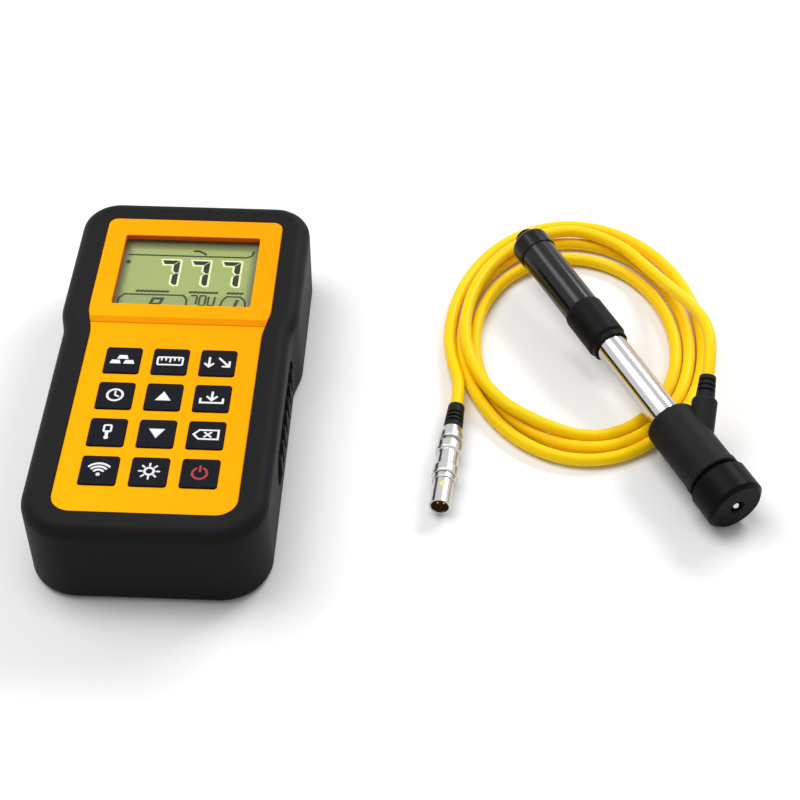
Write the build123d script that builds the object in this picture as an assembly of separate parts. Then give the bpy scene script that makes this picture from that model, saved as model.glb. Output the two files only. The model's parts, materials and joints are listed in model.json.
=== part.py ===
from build123d import *
import math
import os

# Leeb hardness tester: a hand-held display unit in a rubber boot, lying on its back, and the
# impact device with its coiled lead and round plug beside it. Millimetres. X runs across the
# display unit, Y towards its display end, Z up from the surface that both lie on. The origin
# is the middle of the boot's back.

# Fits and small gaps
RUNNING_GAP = 0.08
SEAT_GAP = 0.05
LOOSE_GAP = 0.2
CLEAR_GAP = 0.3
BITE = 0.1

# Front outline of the display unit, which steps in below the display
FACE_WIDTH = 64.6
FACE_LENGTH = 142.5
WAIST_STEP = 2.3
WAIST_ABOVE = 3.6
WAIST_BELOW = 5.4
WAIST_RADIUS = 20.0
FACE_TOP_RADIUS = 3.5
FACE_LOW_RADIUS = 7.0

# Hard case, front to back
CASE_BORDER = 5.5
CASE_WALL = 2.0
CASE_BACK = 2.6
CASE_FLOOR = 2.2
PARTING = 15.0
LIP_SEAT = 29.0
KEYPAD_TOP = 32.0
DISPLAY_TOP = 33.4
FACE_EDGE_RADIUS = 0.7
CASE_HEEL = 1.5
STEP_BELOW_WINDOW = 6.45
STEP_RAMP = 2.0
TONGUE_WALL = 0.9
TONGUE_HEIGHT = 1.5

# Rubber boot
BOOT_BORDER = 9.9
BOOT_DEPTH = 34.0
RIM_RADIUS = 5.0
RIM_DISH = 1.3
HEEL_RADIUS = 2.5
GRIP_LENGTH = 54.0
GRIP_HEIGHT = 15.0
GRIP_Y = -14.0
GRIP_Z = 16.0
GRIP_DEPTH = 1.1
GRIP_BUMPS = 7
BUMP_PITCH = 6.8
BUMP_WIDTH = 3.4
BUMP_HEIGHT = 9.5
BUMP_RISE = 1.9
BUMP_ROOT = 0.5
BUMP_CORNER = 1.2
BUMP_DRAFT = 6
BACK_CORNER = 5.0
SOCKET_ROOM = 1.5
DATA_ROOM = 3.0

# Keys
KEYPAD_SIDE = 7.55
KEYPAD_LOW = 11.39
KEY_GAP_X = 4.3
KEY_GAP_Y = 4.54
KEY_LENGTH = 12.4
KEY_CORNER = 0.9
KEY_RISE = 0.6
KEY_EDGE = 0.35
KEY_FLANGE = 0.9
KEY_FLANGE_THICK = 1.0
KEY_STEM = 7.0
KEY_TRAVEL = 0.8
KEY_NAMES = [
    ["key_material", "key_scale", "key_direction"],
    ["key_time", "key_up", "key_memory"],
    ["key_probe", "key_down", "key_delete"],
    ["key_wireless", "key_light", "key_power"],
]
MAT_SHEET = 1.2
MAT_RIB = 1.7
MAT_CORNER = 1.5

# Display
WINDOW_SIDE = 7.55
WINDOW_LENGTH = 37.2
WINDOW_ABOVE = 9.4
WINDOW_CORNER = 1.0
LENS_LAP = 2.0
LENS_THICK = 1.5
GLASS_THICK = 2.2
GLASS_LEDGE = 2.4

# Main board
BOARD_TOP = 25.0
BOARD_THICK = 1.6
BOARD_SIDE_GAP = 5.5
BOARD_TOP_GAP = 2.25
BOARD_LOW_GAP = 4.75
BOARD_NOTCH = 1.2
BOARD_SCREW_TOP = (5.7, 4.5)
BOARD_SCREW_LOW = (7.0, 3.7)
BOARD_SCREW_BITE = 3.4
BOARD_BOSS = 5.0
BOARD_CHIPS = [
    (14.0, 14.0, 1.4, 2.0, 40.0),
    (7.0, 9.0, 1.6, -15.0, 30.0),
    (6.0, 5.0, 1.8, 17.0, 22.0),
    (9.0, 4.0, 2.0, 13.0, 56.0),
]

# Screws
CASE_SCREW_SIDE = 3.3
CASE_SCREW_END = 0.35
CASE_BOSS = 6.5
BOSS_INSET = 0.5
SCREW_SHANK = 2.2
SCREW_HEAD = 4.4
SCREW_HEAD_THICK = 1.6
SCREW_SEAT = 8.0
SCREW_LENGTH = 14.0
SMALL_HEAD = 4.0
SMALL_HEAD_THICK = 1.1
HEAD_EDGE = 0.4
CROSS_SLOT = 0.5

# Batteries, contacts and door
CELL_DIAMETER = 14.5
CONTACT_ROOM = 2.25
BAY_WIDTH = 31.0
BAY_LENGTH = 55.0
BAY_LOW = 2.75
BAY_WALL = 1.5
BAY_CORNER = 0.8
CELL_TIP = 5.5
CELL_TIP_HEIGHT = 1.0
CELL_EDGE = 0.6
DOOR_LAP = 2.0
DOOR_THICK = 1.3
DOOR_CORNER = 2.0
DOOR_RIB = 1.2
DOOR_EAR_RADIUS = 4.0
DOOR_BOSS = 6.0
DOOR_BOSS_HEIGHT = 5.0
CONTACT_THICK = 0.5
CONTACT_WIDTH = 8.0
CONTACT_HEIGHT = 10.0
CONTACT_TIP = 1.2

# Lead socket and data socket in the display end
SOCKET_X = 12.0
SOCKET_Z = 20.9
SOCKET_FLANGE = 12.0
SOCKET_FLANGE_THICK = 1.6
SOCKET_BODY = 9.0
SOCKET_DEPTH = 6.0
SOCKET_INNER_LENGTH = 9.3
SOCKET_NUT = 11.8
SOCKET_NUT_THICK = 1.9
SOCKET_EDGE = 0.5
CONTACT_HOLE = 0.5
CONTACT_HOLE_DEPTH = 4.0
DATA_X = -14.0
DATA_WIDTH = 7.7
DATA_HEIGHT = 2.9
DATA_LENGTH = 7.0
DATA_SHEET = 0.4
DATA_CORNER = 0.6
DATA_TONGUE = 0.7
DATA_BACK = 1.0

# Impact device, measured along its axis from the nose face
NOSE_X = 193.2
NOSE_Y = -41.5
DEVICE_TURN = 28.9
RING_RADIUS = 10.5
RING_LENGTH = 12.6
RING_PLATE = 4.0
RING_HOLE = 2.3
RING_HOLE_EDGE = 0.6
RING_FRONT_EDGE = 1.4
RING_BACK_EDGE = 1.2
SPIGOT_RADIUS = 8.2
SPIGOT_LENGTH = 4.0
HOUSING_RADIUS = 9.3
HOUSING_START = 13.8
HOUSING_END = 43.0
HOUSING_BEAD = 0.4
HOUSING_BEAD_LENGTH = 2.2
HOUSING_ROUND = 2.4
POCKET_END = 28.2
BOBBIN_FLANGE = 0.8
BOBBIN_WALL = 0.6
TUBE_RADIUS = 5.75
TUBE_BORE = 3.8
TUBE_END = 94.0
TUBE_NECK = 2.2
TUBE_CROWN = 2.0
COLLAR_RADIUS = 6.0
GRIP_START = 84.0
GRIP_END = 102.0
GRIP_RADIUS = 7.4
GRIP_NOSE = 2.0
GRIP_SHOULDER = 1.0
GRIP_LIP = 1.4
SLEEVE_RADIUS = 6.8
SLEEVE_SEAT_RADIUS = 6.5
SLEEVE_END = 135.0
SLEEVE_TRAVEL = 30.0
CAP_RADIUS = 7.3
CAP_END = 143.5
CAP_SPIGOT = 4.0
CAP_FLOOR = 2.4
CAP_TOP = 2.6
CAP_ROUND = 2.4
CAP_EDGE = 0.5
BUTTON_RADIUS = 4.0
BUTTON_REST = 0.5
BUTTON_TRAVEL = 3.0
BUTTON_FLANGE = 0.6
BUTTON_FLANGE_THICK = 1.4
BUTTON_ROUND = 1.6
CHUCK_RADIUS = 3.0
CHUCK_NECK = 3.5
CHUCK_BORE = 1.95
HOOK_LENGTH = 3.0
CHUCK_EDGE = 1.5
CHUCK_SLOT = 0.6
STEM_RADIUS = 1.7
STEM_HEAD = 1.3
STEM_HEAD_THICK = 1.0
ROD_RADIUS = 0.8
BODY_LENGTH = 30.5
BODY_PLAY = 2.5
BODY_WAIST = 3.1
BODY_FRONT_BAND = 5.0
BODY_BACK_BAND = 4.0
BODY_BAND_END = 22.0
BODY_ROD = 1.2
HOOK_RADIUS = 1.75
MAGNET_RADIUS = 1.95
MAGNET_LENGTH = 4.9
HOLDER_DEPTH = 3.05
HOLDER_NOSE = 1.3
BALL_RADIUS = 1.5
BALL_REST = 0.1
SPRING_WIRE = 0.8
IMPACT_SPRING_LENGTH = 40.0
IMPACT_SPRING_WIRE = 0.5
SPRING_TURNS = 8
WIRE_SIDES = 8

# Lead outlet on the impact device
OUTLET_ROLL = 25.0
OUTLET_TILT = 40.0
OUTLET_START = 34.0
OUTLET_OFFSET = 8.0
NECK_RADIUS = 4.5
NECK_LENGTH = 9.5
NECK_ROOT = 4.0
NECK_EDGE = 0.9
RELIEF_RADIUS = 3.4
RELIEF_LENGTH = 9.0
RELIEF_SEAT = 1.05
RELIEF_TIP = 0.7
GROOVE_WIDTH = 0.8
GROOVE_DEPTH = 0.5
GROOVE_PITCH = 2.0
GROOVE_COUNT = 3
GROOVE_START = 2.6

# Lead: its straight runs are joined by arcs, and its coil lies flat on the surface
LEAD_DIAMETER = 4.5
COIL_CENTRE = (143.0, 44.5)
COIL_SIZE = (100.0, 137.0)
COIL_HOLE_CENTRE = (142.0, 42.5)
COIL_HOLE_SIZE = (70.0, 91.0)
LAYER = 4.6
LAYER_INSET = 2.0
CROSSING_WIDTH = 60.0
CROSSING_LENGTH = 60.0
LEAD_START_ROUTE = [(186.6, 32.5, 24.4), (182.2, 45.0, 19.2), (178.8, 57.0, 13.0), (175.4, 68.5, 8.8)]
LEAD_START_RUN = 12.0
LEAD_END_RUN = 9.0

# Plug, measured along its axis from the mouth
PLUG_X = 94.0
PLUG_Y = -40.5
PLUG_TURN = -5.6
PLUG_SHELL = 3.7
PLUG_SHELL_LENGTH = 10.5
PLUG_BORE = 3.1
PLUG_BORE_DEPTH = 7.0
PLUG_FLANGE = 4.2
PLUG_CORE = 3.3
PLUG_EDGE = 0.3
INSERT_END = 20.0
PIN_RADIUS = 0.45
PIN_START = 2.4
PIN_END = 19.0
LATCH_START = 12.8
LATCH_END = 28.0
LATCH_RING = 4.75
LATCH_WAIST = 3.9
LATCH_BAND = 3.8
LATCH_SLOPE = 0.5
LATCH_EDGE = 0.7
LATCH_TRAVEL = 1.5
NUT_LENGTH = 5.7
NUT_RADIUS = 4.3
NUT_FLAT = 2.8
NUT_THREAD = 3.1
NUT_NECK = 3.6
NUT_BORE = 2.7
PLUG_RELIEF_END = 47.0
PLUG_RELIEF_RADIUS = 3.5

# Places worked out from the sizes above
BUTTON_END = CAP_END + BUTTON_TRAVEL + BUTTON_REST
CHUCK_START = RING_PLATE + BODY_LENGTH + SLEEVE_TRAVEL - HOOK_LENGTH
CHUCK_DEPTH = HOOK_LENGTH + BODY_PLAY + BUTTON_TRAVEL + 2 * LOOSE_GAP
CHUCK_END = CHUCK_START + CHUCK_DEPTH + CHUCK_NECK
NUT_START = LATCH_END + LATCH_TRAVEL + CLEAR_GAP
NUT_END = NUT_START + NUT_LENGTH
CASE_END = FACE_LENGTH / 2 + CASE_BORDER
INNER_BORDER = CASE_BORDER - CASE_WALL
WINDOW_WIDTH = FACE_WIDTH - 2 * WINDOW_SIDE
WINDOW_Y = FACE_LENGTH / 2 - WINDOW_ABOVE - WINDOW_LENGTH / 2
STEP_Y = WINDOW_Y - WINDOW_LENGTH / 2 - STEP_BELOW_WINDOW
WAIST_TOP = STEP_Y + WAIST_ABOVE
WAIST_BOTTOM = STEP_Y - WAIST_BELOW
KEY_COLUMNS = len(KEY_NAMES[0])
KEY_ROWS = len(KEY_NAMES)
KEYPAD_WIDTH = FACE_WIDTH - 2 * WAIST_STEP - 2 * KEYPAD_SIDE
KEY_WIDTH = (KEYPAD_WIDTH - (KEY_COLUMNS - 1) * KEY_GAP_X) / KEY_COLUMNS
KEY_PITCH_X = KEY_WIDTH + KEY_GAP_X
KEY_PITCH_Y = KEY_LENGTH + KEY_GAP_Y
KEYPAD_Y = -FACE_LENGTH / 2 + KEYPAD_LOW + ((KEY_ROWS - 1) * KEY_PITCH_Y + KEY_LENGTH) / 2
BOARD_WIDTH = FACE_WIDTH + 2 * (INNER_BORDER - WAIST_STEP - BOARD_SIDE_GAP)
BOARD_Y_TOP = FACE_LENGTH / 2 + INNER_BORDER - BOARD_TOP_GAP
BOARD_Y_LOW = BOARD_LOW_GAP - FACE_LENGTH / 2 - INNER_BORDER
BOARD_SCREWS = [
    (BOARD_WIDTH / 2 - BOARD_SCREW_TOP[0], BOARD_Y_TOP - BOARD_SCREW_TOP[1]),
    (BOARD_WIDTH / 2 - BOARD_SCREW_LOW[0], BOARD_Y_LOW + BOARD_SCREW_LOW[1]),
]
CASE_SCREW_X = FACE_WIDTH / 2 - CASE_SCREW_SIDE
CASE_SCREW_Y = FACE_LENGTH / 2 - CASE_SCREW_END
CASE_SCREWS = [(CASE_SCREW_X, CASE_SCREW_Y), (CASE_SCREW_X, -CASE_SCREW_Y)]
BAY_Y = BAY_LOW - FACE_LENGTH / 2 + BAY_LENGTH / 2
CELL_LENGTH = BAY_LENGTH - 2 * CONTACT_ROOM
EAR_Y = BAY_Y + BAY_LENGTH / 2 + DOOR_EAR_RADIUS
CELL_HEIGHT = CASE_BACK + DOOR_THICK + CLEAR_GAP + CELL_DIAMETER / 2
KEY_TOP = KEYPAD_TOP + KEY_RISE
KEYPAD_UNDER = KEYPAD_TOP - CASE_WALL
DISPLAY_UNDER = DISPLAY_TOP - CASE_WALL
BAY_ROOF = CASE_BACK + DOOR_THICK + 2 * CLEAR_GAP + CELL_DIAMETER
COIL_TOP = 2 * LAYER
CAP_REST = 140.0
DEVICE_TILT = math.degrees(math.asin((COIL_TOP + CLEAR_GAP + CAP_RADIUS - RING_RADIUS) / CAP_REST))
TURN = math.radians(DEVICE_TURN)
TILT = math.radians(DEVICE_TILT)
DEVICE = Plane(
    origin=(NOSE_X, NOSE_Y, RING_RADIUS * math.cos(TILT)),
    x_dir=(math.cos(TURN), math.sin(TURN), 0),
    z_dir=(-math.sin(TURN) * math.cos(TILT), math.cos(TURN) * math.cos(TILT), math.sin(TILT)),
)
PLUG = Plane(
    origin=(PLUG_X, PLUG_Y, LATCH_RING + SEAT_GAP),
    x_dir=(math.cos(math.radians(PLUG_TURN)), math.sin(math.radians(PLUG_TURN)), 0),
    z_dir=(-math.sin(math.radians(PLUG_TURN)), math.cos(math.radians(PLUG_TURN)), 0),
)
OUTLET = Plane(
    origin=(
        OUTLET_OFFSET * math.cos(math.radians(OUTLET_ROLL)),
        -OUTLET_OFFSET * math.sin(math.radians(OUTLET_ROLL)),
        OUTLET_START,
    ),
    z_dir=(
        math.sin(math.radians(OUTLET_TILT)) * math.cos(math.radians(OUTLET_ROLL)),
        -math.sin(math.radians(OUTLET_TILT)) * math.sin(math.radians(OUTLET_ROLL)),
        math.cos(math.radians(OUTLET_TILT)),
    ),
)


def outline(border, z):
    """Waisted front outline, grown outwards by border, as a face at height z."""
    half_top = FACE_WIDTH / 2 + border
    half_low = half_top - WAIST_STEP
    end = FACE_LENGTH / 2 + border
    right = [(half_top, end), (half_top, WAIST_TOP), (half_low, WAIST_BOTTOM), (half_low, -end)]
    left = [(-x, y) for x, y in reversed(right)]
    sheet = make_face(Polyline(*right, *left, close=True))
    rounds = [
        (end, FACE_TOP_RADIUS + border),
        (-end, FACE_LOW_RADIUS + border),
        (WAIST_TOP, WAIST_RADIUS),
        (WAIST_BOTTOM, WAIST_RADIUS),
    ]
    for y, radius in rounds:
        corners = sheet.vertices().filter_by(lambda v, y=y: abs(v.Y - y) < 0.01)
        sheet = fillet(corners, radius)
    return Pos(0, 0, z) * sheet


def slab(border, low, high):
    """Prism of the waisted outline between two heights."""
    return extrude(outline(border, low), high - low)


def block(width, length, low, high, x=0.0, y=0.0, corner=0.0):
    """Upright block with rounded corners, centred on x and y."""
    sheet = RectangleRounded(width, length, corner) if corner else Rectangle(width, length)
    return Pos(x, y, low) * extrude(sheet, high - low)


def post(radius, low, high, x=0.0, y=0.0):
    """Upright round post."""
    return Pos(x, y, low) * extrude(Circle(radius), high - low)


def turned(profile, rounds=()):
    """Solid turned about Z from (radius, height) corners; rounds gives (corner, radius) pairs."""
    section = make_face(Polyline(*profile, close=True))
    for corner, radius in rounds:
        point = Vector(profile[corner][0], profile[corner][1], 0)
        section = fillet(section.vertices().sort_by_distance(point)[0], radius)
    return revolve(Plane.XZ * section, Axis.Z)


def mirrored_spots(spots):
    """Each spot and its mirror image across the middle."""
    return [(side * x, y) for x, y in spots for side in (1, -1)]


def coil_spring(radius, wire, length, turns):
    """Round-wire spring standing on Z = 0, its wire inside the given outer radius."""
    centre = radius - wire / 2
    path = Helix(pitch=(length - wire) / turns, height=length - wire, radius=centre)
    section = Plane(origin=path @ 0, z_dir=path % 0) * RegularPolygon(wire / 2, WIRE_SIDES)
    return Pos(0, 0, wire / 2) * sweep(section, path)


def socket_place():
    """Plane at the outside of the case's display end, looking out along +Y."""
    return Plane(origin=(SOCKET_X, CASE_END, SOCKET_Z), x_dir=(1, 0, 0), z_dir=(0, 1, 0))


def grip_panel(side):
    """Shallow recess in one side of the boot, and the row of bumps that stands in it."""
    wall = FACE_WIDTH / 2 + BOOT_BORDER - WAIST_STEP
    face = Plane(origin=(side * wall, GRIP_Y, GRIP_Z), x_dir=(0, 1, 0), z_dir=(side, 0, 0))
    recess = extrude(face * RectangleRounded(GRIP_LENGTH, GRIP_HEIGHT, GRIP_HEIGHT / 2 - BITE), -GRIP_DEPTH)
    recess += extrude(face * RectangleRounded(GRIP_LENGTH, GRIP_HEIGHT, GRIP_HEIGHT / 2 - BITE), WAIST_STEP)
    bumps = []
    for number in range(GRIP_BUMPS):
        along = (number - (GRIP_BUMPS - 1) / 2) * BUMP_PITCH
        foot = face * Pos(along, 0, -GRIP_DEPTH - BUMP_ROOT) * RectangleRounded(BUMP_WIDTH, BUMP_HEIGHT, BUMP_CORNER)
        bumps.append(extrude(foot, BUMP_RISE + BUMP_ROOT, taper=BUMP_DRAFT))
    return recess, bumps


def rubber_boot():
    body = slab(BOOT_BORDER, 0, BOOT_DEPTH)
    body = fillet(body.edges().group_by(Axis.Z)[-1], RIM_RADIUS)
    body = fillet(body.edges().group_by(Axis.Z)[0], HEEL_RADIUS)
    dish = loft([
        outline(LOOSE_GAP, BOOT_DEPTH - RIM_DISH),
        outline(BOOT_BORDER - RIM_RADIUS, BOOT_DEPTH + SEAT_GAP),
    ])
    body -= dish
    body -= slab(CASE_BORDER + SEAT_GAP, CASE_BACK - SEAT_GAP, LIP_SEAT + SEAT_GAP)
    body -= slab(LOOSE_GAP, LIP_SEAT, BOOT_DEPTH)
    for side in (1, -1):
        recess, bumps = grip_panel(side)
        body -= recess
        for bump in bumps:
            body += bump
    door_low = BAY_Y - BAY_LENGTH / 2 - DOOR_LAP
    door_high = BAY_Y + BAY_LENGTH / 2 + 2 * DOOR_EAR_RADIUS
    window = block(
        BAY_WIDTH + 4 * DOOR_LAP, door_high - door_low + DOOR_LAP, -1, CASE_BACK,
        y=(door_low + door_high) / 2, corner=BACK_CORNER,
    )
    body -= window
    end = FACE_LENGTH / 2 + BOOT_BORDER
    body -= socket_place() * Pos(0, 0, -SEAT_GAP) * extrude(Circle(SOCKET_FLANGE / 2 + SOCKET_ROOM), end)
    data_room = RectangleRounded(DATA_WIDTH + 2 * DATA_ROOM, DATA_HEIGHT + 2 * DATA_ROOM, DATA_ROOM)
    body -= extrude(data_place() * data_room, end)
    return body


def data_place():
    """Plane at the mouth of the data socket, which hangs under the board."""
    height = BOARD_TOP - BOARD_THICK - DATA_HEIGHT / 2 - SEAT_GAP
    return Plane(origin=(DATA_X, CASE_END, height), x_dir=(1, 0, 0), z_dir=(0, 1, 0))


def key_spots():
    """Name and centre of every key, row by row from the display."""
    spots = []
    for row, names in enumerate(KEY_NAMES):
        for column, name in enumerate(names):
            x = (column - (KEY_COLUMNS - 1) / 2) * KEY_PITCH_X
            y = KEYPAD_Y - (row - (KEY_ROWS - 1) / 2) * KEY_PITCH_Y
            spots.append((name, x, y))
    return spots


def face_relief():
    """Space above the keypad, with the ramp up to the display."""
    low_end = -FACE_LENGTH
    profile = [
        (low_end, KEYPAD_TOP), (STEP_Y - STEP_RAMP, KEYPAD_TOP),
        (STEP_Y, DISPLAY_TOP + SEAT_GAP), (low_end, DISPLAY_TOP + SEAT_GAP),
    ]
    section = Plane.YZ * make_face(Polyline(*profile, close=True))
    return extrude(section, FACE_WIDTH, both=True)


def front_cover():
    body = slab(CASE_BORDER, PARTING, LIP_SEAT)
    plateau = slab(0, LIP_SEAT, DISPLAY_TOP)
    plateau = fillet(plateau.edges().group_by(Axis.Z)[-1], FACE_EDGE_RADIUS)
    keypad = slab(0, LIP_SEAT, KEYPAD_TOP)
    keypad = fillet(keypad.edges().group_by(Axis.Z)[-1], FACE_EDGE_RADIUS)
    body += (plateau - face_relief()) + keypad
    body -= slab(INNER_BORDER, PARTING, LIP_SEAT - CASE_WALL)
    body -= slab(-CASE_WALL, PARTING, KEYPAD_UNDER)
    display_room = block(
        FACE_WIDTH - 2 * CASE_WALL, FACE_LENGTH / 2 - STEP_Y - CASE_WALL, PARTING, DISPLAY_UNDER,
        y=(FACE_LENGTH / 2 - CASE_WALL + STEP_Y) / 2, corner=MAT_CORNER,
    )
    body -= display_room
    body -= block(WINDOW_WIDTH, WINDOW_LENGTH, PARTING, DISPLAY_TOP + CLEAR_GAP, y=WINDOW_Y, corner=WINDOW_CORNER)
    for name, x, y in key_spots():
        hole_width = KEY_WIDTH + 2 * LOOSE_GAP
        hole_length = KEY_LENGTH + 2 * LOOSE_GAP
        body -= block(hole_width, hole_length, PARTING, DISPLAY_TOP, x, y, KEY_CORNER + LOOSE_GAP)
    body -= slab(INNER_BORDER + TONGUE_WALL + SEAT_GAP, PARTING, PARTING + TONGUE_HEIGHT + SEAT_GAP)
    for x, y in mirrored_spots(CASE_SCREWS):
        boss = post(CASE_BOSS / 2, PARTING + SEAT_GAP, LIP_SEAT - CASE_WALL, x, y)
        body += boss & slab(CASE_BORDER - BOSS_INSET, PARTING, LIP_SEAT)
        pilot_top = SCREW_SEAT - SCREW_HEAD_THICK + SCREW_LENGTH + CLEAR_GAP
        body -= post(SCREW_SHANK / 2 + SEAT_GAP, PARTING, pilot_top, x, y)
    for x, y in mirrored_spots(BOARD_SCREWS):
        ceiling = DISPLAY_UNDER if y > STEP_Y else KEYPAD_UNDER
        body += post(BOARD_BOSS / 2, BOARD_TOP + SEAT_GAP, ceiling + SEAT_GAP, x, y)
        body -= post(SCREW_SHANK / 2 + SEAT_GAP, BOARD_TOP, BOARD_TOP + BOARD_SCREW_BITE + CLEAR_GAP, x, y)
    body -= socket_hole()
    data_hole = RectangleRounded(DATA_WIDTH + 2 * LOOSE_GAP, DATA_HEIGHT + 2 * LOOSE_GAP, DATA_CORNER + LOOSE_GAP)
    body -= extrude(data_place() * data_hole, 2 * CASE_WALL, both=True)
    return body


def socket_hole():
    """Hole through the case's end wall for the lead socket."""
    return extrude(socket_place() * Circle(SOCKET_BODY / 2 + LOOSE_GAP), 2 * CASE_WALL, both=True)


def rear_cover():
    body = slab(CASE_BORDER, CASE_BACK, PARTING)
    body = fillet(body.edges().group_by(Axis.Z)[0], CASE_HEEL)
    body -= slab(INNER_BORDER, CASE_BACK + CASE_FLOOR, PARTING)
    tongue = slab(INNER_BORDER + TONGUE_WALL, PARTING - SEAT_GAP, PARTING + TONGUE_HEIGHT)
    tongue -= slab(INNER_BORDER, PARTING - SEAT_GAP, PARTING + TONGUE_HEIGHT)
    for x, y in mirrored_spots(CASE_SCREWS):
        tongue -= post(CASE_BOSS / 2 + CLEAR_GAP, PARTING, PARTING + TONGUE_HEIGHT, x, y)
    tongue -= socket_hole()
    body += tongue
    body += block(
        BAY_WIDTH + 2 * BAY_WALL, BAY_LENGTH + 2 * BAY_WALL, CASE_BACK + CASE_FLOOR - BITE,
        BAY_ROOF + BAY_WALL, y=BAY_Y, corner=BAY_CORNER + BAY_WALL,
    )
    body -= block(BAY_WIDTH, BAY_LENGTH, CASE_BACK, BAY_ROOF, y=BAY_Y, corner=BAY_CORNER)
    body -= door_outline(DOOR_LAP + LOOSE_GAP, CASE_BACK, CASE_BACK + DOOR_THICK + SEAT_GAP)
    boss_top = CASE_BACK + CASE_FLOOR + DOOR_BOSS_HEIGHT
    body += post(DOOR_BOSS / 2, CASE_BACK + CASE_FLOOR - BITE, boss_top, 0, EAR_Y)
    body -= post(SCREW_SHANK / 2 + SEAT_GAP, CASE_BACK, boss_top - BOSS_INSET, 0, EAR_Y)
    for x, y in mirrored_spots(CASE_SCREWS):
        shaft = post(CASE_BOSS / 2, CASE_BACK + CASE_FLOOR - BITE, PARTING, x, y)
        body += shaft & slab(CASE_BORDER - BOSS_INSET, CASE_BACK, PARTING)
        body -= post(SCREW_SHANK / 2 + LOOSE_GAP, CASE_BACK, PARTING + BITE, x, y)
        body -= post(SCREW_HEAD / 2 + LOOSE_GAP, CASE_BACK, SCREW_SEAT, x, y)
    return body


def door_outline(lap, low, high):
    """Battery door plate with its screw ear, grown by lap around the bay."""
    plate = block(BAY_WIDTH + 2 * lap, BAY_LENGTH + 2 * lap, low, high, y=BAY_Y, corner=DOOR_CORNER)
    return plate + post(DOOR_EAR_RADIUS + lap - DOOR_LAP, low, high, 0, EAR_Y)


def battery_door():
    """Plate with a screw ear, and a low rib that centres it in the bay."""
    body = door_outline(DOOR_LAP, CASE_BACK, CASE_BACK + DOOR_THICK)
    width = BAY_WIDTH - 2 * CLEAR_GAP
    length = BAY_LENGTH - 2 * CLEAR_GAP
    low = CASE_BACK + DOOR_THICK - BITE
    high = CASE_BACK + DOOR_THICK + CLEAR_GAP
    rib = block(width, length, low, high, y=BAY_Y, corner=BAY_CORNER)
    rib -= block(width - 2 * DOOR_RIB, length - 2 * DOOR_RIB, low, high, y=BAY_Y)
    body += rib
    body -= post(SCREW_SHANK / 2 + LOOSE_GAP, CASE_BACK, CASE_BACK + DOOR_THICK, 0, EAR_Y)
    return body


def screw(shank_length, head_radius, head_thick):
    """Round-head screw standing on its head, with its cross recess."""
    body = turned([
        (0, 0), (head_radius, 0), (head_radius, head_thick), (SCREW_SHANK / 2, head_thick),
        (SCREW_SHANK / 2, head_thick + shank_length), (0, head_thick + shank_length),
    ], rounds=[(1, HEAD_EDGE)])
    for angle in (0, 90):
        body -= Rot(0, 0, angle) * Box(head_radius + CROSS_SLOT, CROSS_SLOT, head_thick)
    return body


def door_screw():
    shank = CASE_FLOOR + DOOR_BOSS_HEIGHT - BOSS_INSET - HEAD_EDGE
    return Pos(0, EAR_Y, CASE_BACK - SMALL_HEAD_THICK) * screw(shank, SMALL_HEAD / 2, SMALL_HEAD_THICK)


def case_screws():
    low = SCREW_SEAT - SCREW_HEAD_THICK
    one = screw(SCREW_LENGTH - SCREW_HEAD_THICK, SCREW_HEAD / 2, SCREW_HEAD_THICK)
    return [Pos(x, y, low) * one for x, y in mirrored_spots(CASE_SCREWS)]


def board_screws():
    one = screw(BOARD_THICK + BOARD_SCREW_BITE, SMALL_HEAD / 2, SMALL_HEAD_THICK)
    low = BOARD_TOP - BOARD_THICK - SMALL_HEAD_THICK
    return [Pos(x, y, low) * one for x, y in mirrored_spots(BOARD_SCREWS)]


def key_solid(x, y):
    flange_top = KEYPAD_UNDER - LOOSE_GAP
    top = block(KEY_WIDTH, KEY_LENGTH, flange_top - BITE, KEY_TOP, corner=KEY_CORNER)
    top = fillet(top.edges().group_by(Axis.Z)[-1], KEY_EDGE)
    flange = block(
        KEY_WIDTH + 2 * KEY_FLANGE, KEY_LENGTH + 2 * KEY_FLANGE,
        flange_top - KEY_FLANGE_THICK, flange_top, corner=KEY_CORNER,
    )
    stem_low = BOARD_TOP + KEY_TRAVEL + LOOSE_GAP
    stem = post(KEY_STEM / 2, stem_low, flange_top)
    return Pos(x, y, 0) * (top + flange + stem)


def key_mat():
    pocket_width = KEY_WIDTH + 2 * KEY_FLANGE + 2 * CLEAR_GAP
    pocket_length = KEY_LENGTH + 2 * KEY_FLANGE + 2 * CLEAR_GAP
    width = (KEY_COLUMNS - 1) * KEY_PITCH_X + pocket_width + 2 * MAT_RIB
    length = (KEY_ROWS - 1) * KEY_PITCH_Y + pocket_length + 2 * MAT_RIB
    low = BOARD_TOP + SEAT_GAP
    body = block(width, length, low, KEYPAD_UNDER - SEAT_GAP, y=KEYPAD_Y, corner=MAT_CORNER)
    for name, x, y in key_spots():
        body -= block(pocket_width, pocket_length, low + MAT_SHEET, KEYPAD_UNDER, x, y, KEY_CORNER)
        body -= post(KEY_STEM / 2 + CLEAR_GAP, low, low + MAT_SHEET, x, y)
    return body


def display_window():
    high = DISPLAY_UNDER - SEAT_GAP
    return block(
        WINDOW_WIDTH + 2 * LENS_LAP, WINDOW_LENGTH + 2 * LENS_LAP, high - LENS_THICK, high,
        y=WINDOW_Y, corner=WINDOW_CORNER,
    )


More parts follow.
